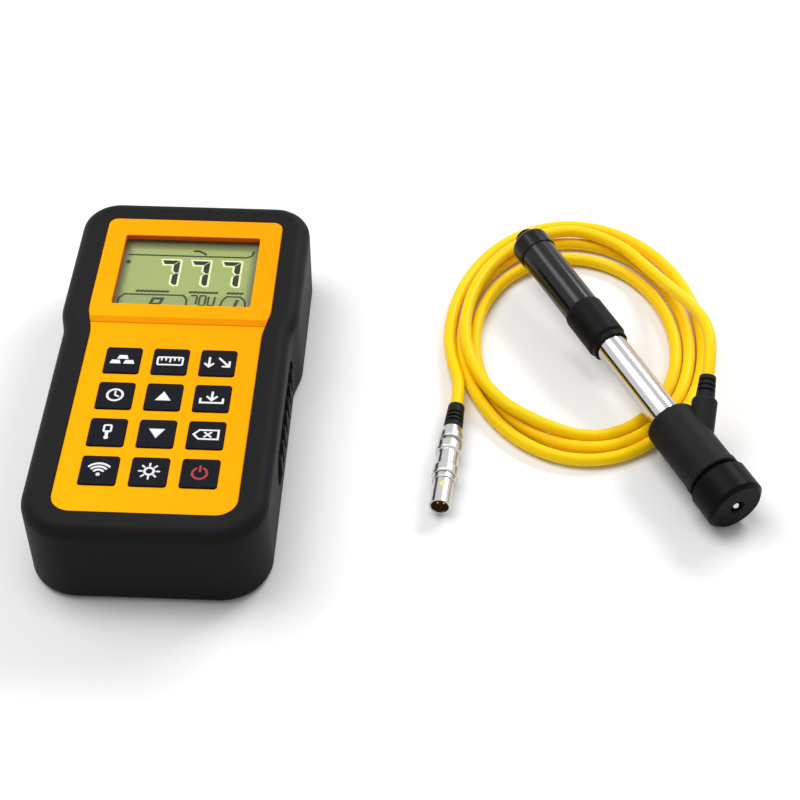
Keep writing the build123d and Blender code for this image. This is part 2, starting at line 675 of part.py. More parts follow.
def lcd_panel():
    """Two bonded glass plates, the lower one longer to carry the contact ledge."""
    high = DISPLAY_UNDER - LENS_THICK - 2 * SEAT_GAP
    width = WINDOW_WIDTH + 2 * LENS_LAP
    length = WINDOW_LENGTH + 2 * LENS_LAP
    lower = block(width, length, high - GLASS_THICK, high - GLASS_THICK / 2, y=WINDOW_Y)
    upper = block(width, length - GLASS_LEDGE, high - GLASS_THICK / 2, high, y=WINDOW_Y + GLASS_LEDGE / 2)
    return lower + upper


def lcd_backlight():
    high = DISPLAY_UNDER - LENS_THICK - GLASS_THICK - 3 * SEAT_GAP
    return block(WINDOW_WIDTH + LENS_LAP, WINDOW_LENGTH + LENS_LAP, BOARD_TOP + SEAT_GAP, high, y=WINDOW_Y)


def main_board():
    low = BOARD_TOP - BOARD_THICK
    length = BOARD_Y_TOP - BOARD_Y_LOW
    body = block(BOARD_WIDTH, length, low, BOARD_TOP, y=(BOARD_Y_TOP + BOARD_Y_LOW) / 2)
    for x, y in mirrored_spots(CASE_SCREWS):
        body -= post(CASE_BOSS / 2 + BOARD_NOTCH, low, BOARD_TOP, x, y)
    depth = BOARD_Y_TOP - CASE_END + SOCKET_INNER_LENGTH + BOARD_NOTCH
    body -= block(SOCKET_NUT + 2 * BOARD_NOTCH, 2 * depth, low, BOARD_TOP, x=SOCKET_X, y=BOARD_Y_TOP)
    for x, y in mirrored_spots(BOARD_SCREWS):
        body -= post(SCREW_SHANK / 2 + LOOSE_GAP, low, BOARD_TOP, x, y)
    for width, depth, thick, x, y in BOARD_CHIPS:
        body += block(width, depth, low - thick, low, x, y)
    return body


def probe_socket():
    bore = PLUG_SHELL + SEAT_GAP
    mouth = SOCKET_FLANGE_THICK
    floor = mouth - SOCKET_DEPTH
    shell = turned([
        (bore, mouth), (SOCKET_FLANGE / 2, mouth), (SOCKET_FLANGE / 2, SEAT_GAP),
        (SOCKET_BODY / 2, SEAT_GAP), (SOCKET_BODY / 2, -SOCKET_INNER_LENGTH),
        (insert_radius() + SEAT_GAP, -SOCKET_INNER_LENGTH), (insert_radius() + SEAT_GAP, floor), (bore, floor),
    ], rounds=[(1, SOCKET_EDGE)])
    return socket_place() * shell


def insert_radius():
    """Radius of the insulating inserts that hold the contacts."""
    return PLUG_BORE - 2 * SEAT_GAP


def contact_spots(radius):
    """Four contact places on a circle."""
    return [(radius * math.cos(a), radius * math.sin(a)) for a in (math.pi / 4 + k * math.pi / 2 for k in range(4))]


def probe_socket_insert():
    floor = SOCKET_FLANGE_THICK - SOCKET_DEPTH
    body = Pos(0, 0, -SOCKET_INNER_LENGTH) * extrude(
        Circle(insert_radius()), SOCKET_INNER_LENGTH + floor - SEAT_GAP)
    for x, y in contact_spots(insert_radius() / 2):
        body -= Pos(x, y, floor - CONTACT_HOLE_DEPTH) * extrude(Circle(CONTACT_HOLE), CONTACT_HOLE_DEPTH)
    return socket_place() * body


def probe_socket_nut():
    nut = extrude(RegularPolygon(SOCKET_NUT / 2, 6, major_radius=False), -SOCKET_NUT_THICK)
    nut -= extrude(Circle(SOCKET_BODY / 2 + SEAT_GAP), -SOCKET_NUT_THICK)
    return socket_place() * Pos(0, 0, -CASE_WALL - SEAT_GAP) * nut


def data_socket():
    """Small folded metal socket for the data lead, with its tongue."""
    place = data_place() * Pos(0, 0, -CLEAR_GAP)
    shell = extrude(place * RectangleRounded(DATA_WIDTH, DATA_HEIGHT, DATA_CORNER), -DATA_LENGTH)
    inner = RectangleRounded(DATA_WIDTH - 2 * DATA_SHEET, DATA_HEIGHT - 2 * DATA_SHEET, DATA_CORNER / 2)
    shell -= extrude(place * inner, DATA_BACK - DATA_LENGTH)
    tongue = Rectangle(DATA_WIDTH - DATA_HEIGHT, DATA_TONGUE)
    return shell + extrude(place * Pos(0, 0, -DATA_LENGTH + DATA_BACK / 2) * tongue, DATA_LENGTH - 1.5 * DATA_BACK)


def battery_cells():
    """Two round cells side by side, each with its raised contact."""
    shoulder = CELL_LENGTH - CELL_TIP_HEIGHT
    cell = turned([
        (0, 0), (CELL_DIAMETER / 2, 0), (CELL_DIAMETER / 2, shoulder), (CELL_TIP / 2, shoulder),
        (CELL_TIP / 2, CELL_LENGTH), (0, CELL_LENGTH),
    ], rounds=[(2, CELL_EDGE), (1, CELL_EDGE)])
    cells = []
    for side in (1, -1):
        foot = (side * BAY_WIDTH / 4, BAY_Y - side * CELL_LENGTH / 2, CELL_HEIGHT)
        cells.append(Plane(origin=foot, x_dir=(1, 0, 0), z_dir=(0, side, 0)) * cell)
    return cells


def battery_contacts():
    """Two bent leaf springs at each end of the bay."""
    leaves = []
    half = CONTACT_HEIGHT / 2
    for x in (BAY_WIDTH / 4, -BAY_WIDTH / 4):
        for end in (1, -1):
            wall = BAY_Y + end * (BAY_LENGTH / 2 - SEAT_GAP)
            inside = wall - end * CONTACT_THICK
            tip = BAY_Y + end * (CELL_LENGTH / 2 + SEAT_GAP)
            profile = [
                (wall, CELL_HEIGHT - half), (wall, CELL_HEIGHT + half), (inside, CELL_HEIGHT + half),
                (inside, CELL_HEIGHT + CONTACT_TIP), (tip, CELL_HEIGHT), (tip, CELL_HEIGHT - CONTACT_TIP),
                (inside, CELL_HEIGHT - half + CONTACT_TIP), (inside, CELL_HEIGHT - half),
            ]
            section = Plane.YZ * make_face(Polyline(*profile, close=True))
            leaves.append(Pos(x, 0, 0) * extrude(section, CONTACT_WIDTH / 2, both=True))
    return leaves


def support_ring():
    tube = TUBE_RADIUS + SEAT_GAP
    profile = [
        (RING_HOLE + RING_HOLE_EDGE, 0), (RING_RADIUS - RING_FRONT_EDGE, 0), (RING_RADIUS, RING_FRONT_EDGE),
        (RING_RADIUS, RING_LENGTH - RING_BACK_EDGE), (RING_RADIUS - RING_BACK_EDGE, RING_LENGTH),
        (SPIGOT_RADIUS - SEAT_GAP, RING_LENGTH),
        (SPIGOT_RADIUS - SEAT_GAP, RING_LENGTH + SPIGOT_LENGTH), (tube, RING_LENGTH + SPIGOT_LENGTH),
        (tube, RING_PLATE), (RING_HOLE, RING_PLATE), (RING_HOLE, RING_HOLE_EDGE),
    ]
    return DEVICE.location * turned(profile)


def guide_tube():
    lip_back = GRIP_START + GRIP_LIP
    profile = [
        (TUBE_BORE, RING_PLATE + SEAT_GAP), (TUBE_RADIUS, RING_PLATE + SEAT_GAP), (TUBE_RADIUS, lip_back + SEAT_GAP),
        (COLLAR_RADIUS, lip_back + SEAT_GAP), (COLLAR_RADIUS, TUBE_END), (TUBE_NECK, TUBE_END),
        (TUBE_NECK, TUBE_END - TUBE_CROWN), (TUBE_BORE, TUBE_END - TUBE_CROWN),
    ]
    return DEVICE.location * turned(profile)


def outlet_neck():
    seat = RELIEF_RADIUS - RELIEF_SEAT + SEAT_GAP
    return OUTLET.location * turned([
        (0, -NECK_ROOT), (NECK_RADIUS, -NECK_ROOT), (NECK_RADIUS, NECK_LENGTH), (seat, NECK_LENGTH),
        (seat, NECK_LENGTH - NECK_ROOT), (0, NECK_LENGTH - NECK_ROOT),
    ], rounds=[(2, NECK_EDGE)])


def coil_housing():
    bead = HOUSING_RADIUS + HOUSING_BEAD
    profile = [
        (SPIGOT_RADIUS + SEAT_GAP, HOUSING_START), (HOUSING_RADIUS, HOUSING_START),
        (bead, HOUSING_START + HOUSING_BEAD), (bead, HOUSING_START + HOUSING_BEAD_LENGTH),
        (HOUSING_RADIUS, HOUSING_START + HOUSING_BEAD_LENGTH + 2 * HOUSING_BEAD),
        (HOUSING_RADIUS, HOUSING_END),
        (TUBE_RADIUS + SEAT_GAP, HOUSING_END), (TUBE_RADIUS + SEAT_GAP, POCKET_END),
        (SPIGOT_RADIUS + SEAT_GAP, POCKET_END),
    ]
    shell = turned(profile, rounds=[(5, HOUSING_ROUND)])
    core = Pos(0, 0, HOUSING_START) * extrude(Circle(TUBE_RADIUS + SEAT_GAP), HOUSING_END)
    pocket = Pos(0, 0, HOUSING_START) * extrude(Circle(SPIGOT_RADIUS + SEAT_GAP), POCKET_END - HOUSING_START)
    neck = outlet_neck() - core - pocket
    return DEVICE.location * (shell + neck)


def grooves(start, depth_radius, outer):
    """Evenly spaced rings that cut the grooves of a bend relief."""
    rings = []
    for number in range(GROOVE_COUNT):
        low = start + number * GROOVE_PITCH
        high = low + GROOVE_WIDTH
        rings.append(turned([(depth_radius, low), (outer, low), (outer, high), (depth_radius, high)]))
    return rings


def lead_outlet():
    """Bend relief on the neck, with three grooves."""
    low = NECK_LENGTH
    seat = RELIEF_RADIUS - RELIEF_SEAT
    foot = low - NECK_ROOT + BITE
    high = NECK_LENGTH + RELIEF_LENGTH
    end = LEAD_DIAMETER / 2 + RELIEF_TIP
    body = turned([
        (0, foot), (seat, foot), (seat, low + SEAT_GAP), (RELIEF_RADIUS, low + SEAT_GAP), (end, high), (0, high),
    ])
    for cut in grooves(low + GROOVE_START, end - GROOVE_DEPTH, RELIEF_RADIUS + GROOVE_WIDTH):
        body -= cut
    return DEVICE.location * OUTLET.location * body


def coil_bobbin():
    inner = TUBE_RADIUS + SEAT_GAP
    outer = SPIGOT_RADIUS - SEAT_GAP
    low = RING_LENGTH + SPIGOT_LENGTH + SEAT_GAP
    high = POCKET_END - SEAT_GAP
    profile = [
        (inner, low), (outer, low), (outer, low + BOBBIN_FLANGE), (inner + BOBBIN_WALL, low + BOBBIN_FLANGE),
        (inner + BOBBIN_WALL, high - BOBBIN_FLANGE), (outer, high - BOBBIN_FLANGE), (outer, high), (inner, high),
    ]
    return DEVICE.location * turned(profile)


def coil_winding():
    inner = TUBE_RADIUS + BOBBIN_WALL + 2 * SEAT_GAP
    low = RING_LENGTH + SPIGOT_LENGTH + BOBBIN_FLANGE + 2 * SEAT_GAP
    high = POCKET_END - BOBBIN_FLANGE - 2 * SEAT_GAP
    outer = SPIGOT_RADIUS - CLEAR_GAP
    return DEVICE.location * turned([(inner, low), (outer, low), (outer, high), (inner, high)])


def grip_ring():
    """Ring with a stepped nose, whose inner lip meets the guide tube's collar."""
    lip = TUBE_RADIUS + RUNNING_GAP
    seat = SLEEVE_SEAT_RADIUS + SEAT_GAP
    nose = (SLEEVE_RADIUS + seat) / 2
    profile = [
        (lip, GRIP_START - GRIP_NOSE), (nose, GRIP_START - GRIP_NOSE), (nose, GRIP_START),
        (GRIP_RADIUS, GRIP_START + GRIP_SHOULDER), (GRIP_RADIUS, GRIP_END - GRIP_SHOULDER),
        (GRIP_RADIUS - CLEAR_GAP, GRIP_END), (seat, GRIP_END), (seat, GRIP_START + GRIP_LIP),
        (lip, GRIP_START + GRIP_LIP),
    ]
    return DEVICE.location * turned(profile)


def load_sleeve():
    bore = COLLAR_RADIUS + RUNNING_GAP
    profile = [
        (bore, GRIP_START + GRIP_LIP + SEAT_GAP), (SLEEVE_SEAT_RADIUS, GRIP_START + GRIP_LIP + SEAT_GAP),
        (SLEEVE_SEAT_RADIUS, GRIP_END + SEAT_GAP), (SLEEVE_RADIUS, GRIP_END + SEAT_GAP),
        (SLEEVE_RADIUS, SLEEVE_END), (bore, SLEEVE_END),
    ]
    return DEVICE.location * turned(profile)


def sleeve_cap():
    spigot = COLLAR_RADIUS + RUNNING_GAP - SEAT_GAP
    low = SLEEVE_END - CAP_SPIGOT
    room = BUTTON_RADIUS + BUTTON_FLANGE + LOOSE_GAP
    profile = [
        (STEM_RADIUS + SEAT_GAP, low), (spigot, low), (spigot, SLEEVE_END + SEAT_GAP),
        (CAP_RADIUS, SLEEVE_END + SEAT_GAP), (CAP_RADIUS, CAP_END), (BUTTON_RADIUS + RUNNING_GAP, CAP_END),
        (BUTTON_RADIUS + RUNNING_GAP, CAP_END - CAP_TOP), (room, CAP_END - CAP_TOP), (room, low + CAP_FLOOR),
        (STEM_RADIUS + SEAT_GAP, low + CAP_FLOOR),
    ]
    return DEVICE.location * turned(profile, rounds=[(4, CAP_ROUND), (3, CAP_EDGE)])


def release_button():
    """Dome-topped button whose rod reaches down through the chuck stem."""
    flange_top = CAP_END - CAP_TOP - SEAT_GAP
    flange_low = flange_top - BUTTON_FLANGE_THICK
    flange = BUTTON_RADIUS + BUTTON_FLANGE
    tip = CHUCK_START + CHUCK_DEPTH + SEAT_GAP
    profile = [
        (0, tip), (ROD_RADIUS, tip), (ROD_RADIUS, flange_low), (flange, flange_low), (flange, flange_top),
        (BUTTON_RADIUS, flange_top), (BUTTON_RADIUS, BUTTON_END), (0, BUTTON_END),
    ]
    return DEVICE.location * turned(profile, rounds=[(6, BUTTON_ROUND)])


def catch_chuck():
    """Slotted collet on a long hollow stem that hangs from the cap."""
    rod_bore = ROD_RADIUS + RUNNING_GAP
    head_low = SLEEVE_END - CAP_SPIGOT + CAP_FLOOR + SEAT_GAP
    head_high = head_low + STEM_HEAD_THICK
    head = STEM_RADIUS + STEM_HEAD
    hook_floor = CHUCK_START + CHUCK_DEPTH
    body = turned([
        (CHUCK_BORE, CHUCK_START), (CHUCK_RADIUS - BOSS_INSET, CHUCK_START), (CHUCK_RADIUS, CHUCK_START + CHUCK_EDGE),
        (CHUCK_RADIUS, CHUCK_END - STEM_HEAD), (STEM_RADIUS, CHUCK_END), (STEM_RADIUS, head_low),
        (head, head_low), (head, head_high), (rod_bore, head_high), (rod_bore, hook_floor), (CHUCK_BORE, hook_floor),
    ])
    slot_length = CHUCK_DEPTH - CHUCK_EDGE
    for angle in (0, 90):
        slot = Pos(0, 0, CHUCK_START + slot_length / 2) * Box(3 * CHUCK_RADIUS, CHUCK_SLOT, slot_length)
        body -= Rot(0, 0, angle) * slot
    return DEVICE.location * body


def loading_spring():
    length = SLEEVE_END - CAP_SPIGOT - TUBE_END - 2 * SEAT_GAP
    return DEVICE.location * Pos(0, 0, TUBE_END + SEAT_GAP) * coil_spring(
        COLLAR_RADIUS - LOOSE_GAP, SPRING_WIRE, length, SPRING_TURNS)


def impact_spring():
    low = TUBE_END - TUBE_CROWN - IMPACT_SPRING_LENGTH - SEAT_GAP
    return DEVICE.location * Pos(0, 0, low) * coil_spring(
        TUBE_BORE - SEAT_GAP, IMPACT_SPRING_WIRE, IMPACT_SPRING_LENGTH, SPRING_TURNS)


def impact_body():
    """Striker with two guiding bands, a bored front for the magnet and a hook on its rod."""
    band = TUBE_BORE - RUNNING_GAP
    low = RING_PLATE + SEAT_GAP
    top = low + BODY_LENGTH
    edge = BOSS_INSET
    bore = MAGNET_RADIUS + SEAT_GAP
    bore_end = RING_PLATE + HOLDER_DEPTH + MAGNET_LENGTH + 2 * SEAT_GAP
    back_low = low + BODY_BAND_END - BODY_BACK_BAND
    back_high = low + BODY_BAND_END
    neck = HOOK_LENGTH - edge
    profile = [
        (bore, low), (band - edge, low), (band, low + edge), (band, low + BODY_FRONT_BAND),
        (BODY_WAIST, low + BODY_FRONT_BAND + edge), (BODY_WAIST, back_low - edge), (band, back_low),
        (band, back_high), (BODY_ROD, back_high + 4 * edge), (BODY_ROD, top - neck),
        (HOOK_RADIUS, top - neck + edge), (HOOK_RADIUS, top - 2 * edge), (BODY_ROD - CLEAR_GAP, top), (0, top),
        (0, bore_end), (bore, bore_end),
    ]
    return DEVICE.location * turned(profile)


def body_magnet():
    low = RING_PLATE + HOLDER_DEPTH + SEAT_GAP
    return DEVICE.location * Pos(0, 0, low) * extrude(Circle(MAGNET_RADIUS), MAGNET_LENGTH)


def ball_holder():
    """Tapered holder in the front of the impact body, cupped for the ball."""
    high = RING_PLATE + HOLDER_DEPTH
    shank = MAGNET_RADIUS - SEAT_GAP
    body = turned([
        (0, HOLDER_NOSE), (HOLDER_NOSE, HOLDER_NOSE), (shank, RING_PLATE - BOSS_INSET), (shank, high), (0, high),
    ])
    body -= Pos(0, 0, BALL_RADIUS + BALL_REST) * Sphere(BALL_RADIUS + SEAT_GAP)
    return DEVICE.location * body


def test_ball():
    return DEVICE.location * Pos(0, 0, BALL_RADIUS + BALL_REST) * Sphere(BALL_RADIUS)


def plug_shell():
    flange_end = LATCH_START - LOOSE_GAP
    core_end = NUT_START + NUT_THREAD - BITE
    profile = [
        (PLUG_BORE, 0), (PLUG_SHELL, 0), (PLUG_SHELL, PLUG_SHELL_LENGTH), (PLUG_FLANGE, PLUG_SHELL_LENGTH),
        (PLUG_FLANGE, flange_end), (PLUG_CORE, flange_end), (PLUG_CORE, core_end), (LEAD_DIAMETER / 2, core_end),
        (LEAD_DIAMETER / 2, INSERT_END + SEAT_GAP), (PLUG_BORE, INSERT_END + SEAT_GAP),
    ]
    return PLUG.location * turned(profile, rounds=[(3, PLUG_EDGE), (4, PLUG_EDGE)])


def plug_latch_sleeve():
    bore = PLUG_CORE + RUNNING_GAP
    front = LATCH_START + LATCH_BAND
    back = LATCH_END - LATCH_BAND
    profile = [
        (bore, LATCH_START), (LATCH_RING, LATCH_START), (LATCH_RING, front), (LATCH_WAIST, front + LATCH_SLOPE),
        (LATCH_WAIST, back - LATCH_SLOPE), (LATCH_RING, back), (LATCH_RING, LATCH_END), (bore, LATCH_END),
    ]
    rounds = [(1, LATCH_EDGE), (2, LATCH_SLOPE), (5, LATCH_SLOPE), (6, LATCH_EDGE)]
    return PLUG.location * turned(profile, rounds)


def plug_nut():
    bore = PLUG_CORE + SEAT_GAP
    flat = NUT_START + NUT_FLAT
    thread = NUT_START + NUT_THREAD
    profile = [
        (bore, NUT_START), (NUT_RADIUS, NUT_START), (NUT_RADIUS, flat), (NUT_RADIUS - HEAD_EDGE, flat + HEAD_EDGE),
        (NUT_NECK, NUT_END), (NUT_BORE, NUT_END), (NUT_BORE, thread), (bore, thread),
    ]
    return PLUG.location * turned(profile, rounds=[(1, HEAD_EDGE), (2, HEAD_EDGE)])


def plug_insert():
    length = INSERT_END - PLUG_BORE_DEPTH
    body = Pos(0, 0, PLUG_BORE_DEPTH) * extrude(Circle(insert_radius()), length)
    for x, y in contact_spots(insert_radius() / 2):
        body -= Pos(x, y, PLUG_BORE_DEPTH) * extrude(Circle(PIN_RADIUS + SEAT_GAP), length)
    return PLUG.location * body


def plug_pins():
    pin = turned([(0, PIN_START), (PIN_RADIUS, PIN_START), (PIN_RADIUS, PIN_END), (0, PIN_END)],
                 rounds=[(1, PLUG_EDGE)])
    return [PLUG.location * Pos(x, y, 0) * pin for x, y in contact_spots(insert_radius() / 2)]


def plug_relief():
    """Bend relief held by the nut, with three grooves."""
    start = NUT_START + NUT_THREAD + SEAT_GAP
    seat = NUT_BORE - SEAT_GAP
    step = NUT_END + SEAT_GAP
    end = LEAD_DIAMETER / 2 + RELIEF_TIP
    body = turned([
        (0, start), (seat, start), (seat, step), (PLUG_RELIEF_RADIUS, step), (end, PLUG_RELIEF_END),
        (0, PLUG_RELIEF_END),
    ])
    for cut in grooves(step + GROOVE_START, end - GROOVE_DEPTH, PLUG_RELIEF_RADIUS + GROOVE_WIDTH):
        body -= cut
    return PLUG.location * body


def turn_radii(points):
    """Largest arc at each corner of a route: 0.45 of the shorter run over the half turn's tangent."""
    radii = []
    for before, here, after in zip(points, points[1:], points[2:]):
        first = here - before
        second = after - here
        half = math.radians(first.get_angle(second)) / 2
        radii.append(0.45 * min(first.length, second.length) / math.tan(half))
    return radii


def lead_tube(points, label):
    """Round tube of the lead along straight runs joined by arcs."""
    points = [Vector(*p) for p in points]
    if len(points) == 2:
        path = Line(points[0], points[1])
    else:
        radii = turn_radii(points)
        print(label, "radii", [round(r, 1) for r in radii])
        path = FilletPolyline(*points, radius=radii)
    start = Plane(origin=path @ 0, z_dir=path % 0)
    tube = sweep(start * Circle(LEAD_DIAMETER / 2), path)
    expected = math.pi * LEAD_DIAMETER**2 / 4 * path.length
    print(label, "length", round(path.length, 1), "volume ratio", round(tube.volume / expected, 4))
    return tube


def lead_start():
    outlet = DEVICE.location * OUTLET.location
    exit_point = (outlet * Pos(0, 0, NECK_LENGTH + RELIEF_LENGTH)).position
    second = (outlet * Pos(0, 0, NECK_LENGTH + RELIEF_LENGTH + LEAD_START_RUN)).position
    return lead_tube([exit_point, second, *LEAD_START_ROUTE], "lead_start")


def lead_end():
    exit_point = (PLUG.location * Pos(0, 0, PLUG_RELIEF_END)).position
    far_point = (PLUG.location * Pos(0, 0, PLUG_RELIEF_END + LEAD_END_RUN)).position
    return lead_tube([exit_point, far_point], "lead_end")


def oval(centre, size, low, high):
    return Pos(centre[0], centre[1], low) * extrude(Ellipse(size[0] / 2, size[1] / 2), high - low)


def lead_coil():
    """Outer form of the coil: two layers of turns, and one where the guide tube crosses it."""
    body = oval(COIL_CENTRE, COIL_SIZE, 0, LAYER) - oval(COIL_HOLE_CENTRE, COIL_HOLE_SIZE, 0, LAYER)
    top_size = [size - 2 * LAYER_INSET for size in COIL_SIZE]
    top_hole = [size + 2 * LAYER_INSET for size in COIL_HOLE_SIZE]
    top = oval(COIL_CENTRE, top_size, LAYER, COIL_TOP) - oval(COIL_HOLE_CENTRE, top_hole, LAYER, COIL_TOP)
    crossing = DEVICE.location * Pos(0, 0, HOUSING_END) * Box(3 * HOUSING_RADIUS, CROSSING_WIDTH, CROSSING_LENGTH)
    body += top - crossing
    body -= DEVICE.location * extrude(Circle(HOUSING_RADIUS + HOUSING_BEAD + CLEAR_GAP), HOUSING_END + CLEAR_GAP)
    return body


def pieces():
    """Every piece of the object by name, each a solid or a group of like solids."""
    made = {
        "rubber_boot": rubber_boot(),
        "front_cover": front_cover(),
        "rear_cover": rear_cover(),
        "battery_door": battery_door(),
        "door_screw": door_screw(),
        "battery_cells": battery_cells(),
        "battery_contacts": battery_contacts(),
        "case_screws": case_screws(),
        "board_screws": board_screws(),
        "main_board": main_board(),
        "key_mat": key_mat(),
        "display_window": display_window(),
        "lcd_panel": lcd_panel(),
        "lcd_backlight": lcd_backlight(),
        "probe_socket": probe_socket(),
        "probe_socket_insert": probe_socket_insert(),
        "probe_socket_nut": probe_socket_nut(),
        "data_socket": data_socket(),
        "support_ring": support_ring(),
        "guide_tube": guide_tube(),
        "coil_housing": coil_housing(),
        "coil_bobbin": coil_bobbin(),
        "coil_winding": coil_winding(),
        "lead_outlet": lead_outlet(),
        "grip_ring": grip_ring(),
        "load_sleeve": load_sleeve(),
        "sleeve_cap": sleeve_cap(),
        "release_button": release_button(),
        "catch_chuck": catch_chuck(),
        "loading_spring": loading_spring(),
        "impact_spring": impact_spring(),
        "impact_body": impact_body(),
        "body_magnet": body_magnet(),
        "ball_holder": ball_holder(),
        "test_ball": test_ball(),
        "lead_start": lead_start(),
        "lead_coil": lead_coil(),
        "lead_end": lead_end(),
        "plug_shell": plug_shell(),
        "plug_latch_sleeve": plug_latch_sleeve(),
        "plug_nut": plug_nut(),
        "plug_insert": plug_insert(),
        "plug_pins": plug_pins(),
        "plug_relief": plug_relief(),
    }
    for name, x, y in key_spots():
        made[name] = key_solid(x, y)
    return made


os.makedirs("parts", exist_ok=True)
for name, shape in pieces().items():
    if isinstance(shape, list):
        shape = Compound(children=shape)
    export_step(shape, f"parts/{name}.step")
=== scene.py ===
import json
import math

import bpy
import numpy as np
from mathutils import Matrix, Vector


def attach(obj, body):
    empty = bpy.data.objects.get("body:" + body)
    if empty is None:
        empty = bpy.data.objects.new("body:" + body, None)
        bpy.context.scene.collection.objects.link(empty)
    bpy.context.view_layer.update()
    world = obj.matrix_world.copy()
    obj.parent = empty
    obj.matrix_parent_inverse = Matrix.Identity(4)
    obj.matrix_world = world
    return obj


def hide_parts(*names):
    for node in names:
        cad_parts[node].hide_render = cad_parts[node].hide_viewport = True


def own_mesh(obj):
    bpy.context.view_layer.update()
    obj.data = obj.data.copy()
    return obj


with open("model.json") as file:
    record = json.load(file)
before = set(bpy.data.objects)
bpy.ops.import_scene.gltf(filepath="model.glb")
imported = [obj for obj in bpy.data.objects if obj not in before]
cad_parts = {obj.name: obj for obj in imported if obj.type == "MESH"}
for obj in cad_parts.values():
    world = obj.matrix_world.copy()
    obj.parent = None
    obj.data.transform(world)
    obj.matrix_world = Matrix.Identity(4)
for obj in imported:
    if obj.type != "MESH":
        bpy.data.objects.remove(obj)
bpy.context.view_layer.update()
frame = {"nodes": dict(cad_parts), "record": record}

MM = 0.001
scene = bpy.context.scene
scene.view_settings.view_transform = "Standard"

# Sizes and places are in millimetres, apart from the lead's length and all of the studio's, which are in metres.

# Keys: the height of their tops, the middle of the keypad, and the grid
KEY_TOP = 32.6
KEYPAD_Y = -28.25
KEY_PITCH_X = 16.4
KEY_PITCH_Y = 16.94
SIGN_THICK = 0.05

# Face: the window's opening, how far up its walls get painted shade, and the fold under the display block with its
# painted shade line
WINDOW_WIDTH = 49.5
WINDOW_LENGTH = 37.2
WINDOW_Y = 43.25
WINDOW_EDGE = 0.05
WALL_TOP = 33.1
FOLD_Y = 16.25
FOLD_HALF = 0.22
FOLD_LOW = 31.9

# Display: its glass, the grey strips above and below, and the digits with the painted glow around them
GLASS_TOP = 29.8
MARK_GAP = 0.006
MARK_THICK = 0.03
STRIP_ABOVE = 58.3
STRIP_BELOW = 33.4
DIGIT_LEFTS = (-10.4, 0.6, 11.85)
DIGIT_LOW = 39.0
DIGIT_WIDTH = 6.6
DIGIT_HEIGHT = 13.3
DIGIT_STROKE = 2.1
GLOW_GROW = 0.75
GLOW_THICK = 0.006

# Impact device: the middle of its support ring's face, its axis, and its loading spring
DEVICE_NOSE = (193.2, -41.5, 10.4894)
DEVICE_AXIS = (-0.482793, 0.874578, 0.045)
SPRING_RADIUS = 5.4
SPRING_WIRE = 0.8
SPRING_LOW = 94.05
SPRING_HIGH = 130.95
SPRING_TURNS = 8
STEPS_PER_TURN = 24
WIRE_SIDES = 8

# Plug: the middle of its open end, its turn in degrees, its shell's radius, and the dot on it
PLUG_NOSE = (94.0, -40.5, 4.8)
PLUG_TURN = -5.6
PLUG_SHELL = 3.7
DOT_ALONG = 7.4
DOT_RINGS = (0.4, 0.8, 1.1)
DOT_SUNK = 0.05
DOT_PROUD = 0.03
DISC_SIDES = 24

# Lead: its coil lies between a hole and an outer oval, given by their middle, half width and half length
LEAD_DIAMETER = 4.5
LEAD_Z = 2.3
UPPER_Z = 6.9
HOLE = (142.0, 42.5, 37.25, 47.75)
OUTER = (143.0, 44.5, 47.75, 66.25)
TURN_STEP = 15
COIL_START = 45
COIL_END = 1260
LEAD_EXIT = (185.91, 9.01, 21.06)
FROM_DEVICE = [LEAD_EXIT, (187.66, 20.30, 24.73), (187.0, 32.3, 24.6), (184.0, 44.6, 20.9),
               (180.2, 57.2, 15.4), (175.6, 69.6, 10.6)]
TO_PLUG = [(96.9, 30.0, 3.3), (99.3, 19.0, 4.6), (98.9, 10.0, 4.8), (98.586, 6.276, 4.8)]

# Where the coil lies at each angle in degrees: its share of the way from the hole to the outer oval,
# and its height, first on the upper layer and then on the floor
LANES = [
    (29, 0.1), (45, 0.22), (60, 0.4), (90, 0.6), (140, 0.5), (180, 0.4), (215, 0.15), (240, -0.02), (255, -0.05),
    (340, -0.05), (395, 0.0), (470, 0.05), (540, 0.0), (575, 0.0), (610, 0.12), (645, 0.27), (670, 0.30),
    (700, 0.36), (720, 0.40), (755, 0.45), (830, 0.5), (900, 0.5), (935, 0.47), (970, 0.55), (1005, 0.6),
    (1030, 0.62), (1060, 0.78), (1080, 0.85), (1115, 0.95), (1180, 1.0), (1260, 1.0),
]
HEIGHTS = [(29, 8.8), (45, 7.8), (60, UPPER_Z), (245, UPPER_Z), (255, 6.0), (265, 4.6), (275, 3.1), (288, LEAD_Z)]

# Studio: the world's light, the middle of what is shown, the floor, and the camera
EVEN_LIGHT = 0.38
MIDDLE = (0.078, 0.012, 0.0)
FLOOR_HALF = 3.0
FLOOR_DROP = 0.0002
FLOOR_NEAR = 0.3
FLOOR_FAR = 0.9
LENS_MM = 80
SENSOR_MM = 36
CAMERA_PLACE = (0.098, -0.434, 0.460)
CAMERA_AIM = (0.0785, 0.006, 0.008)


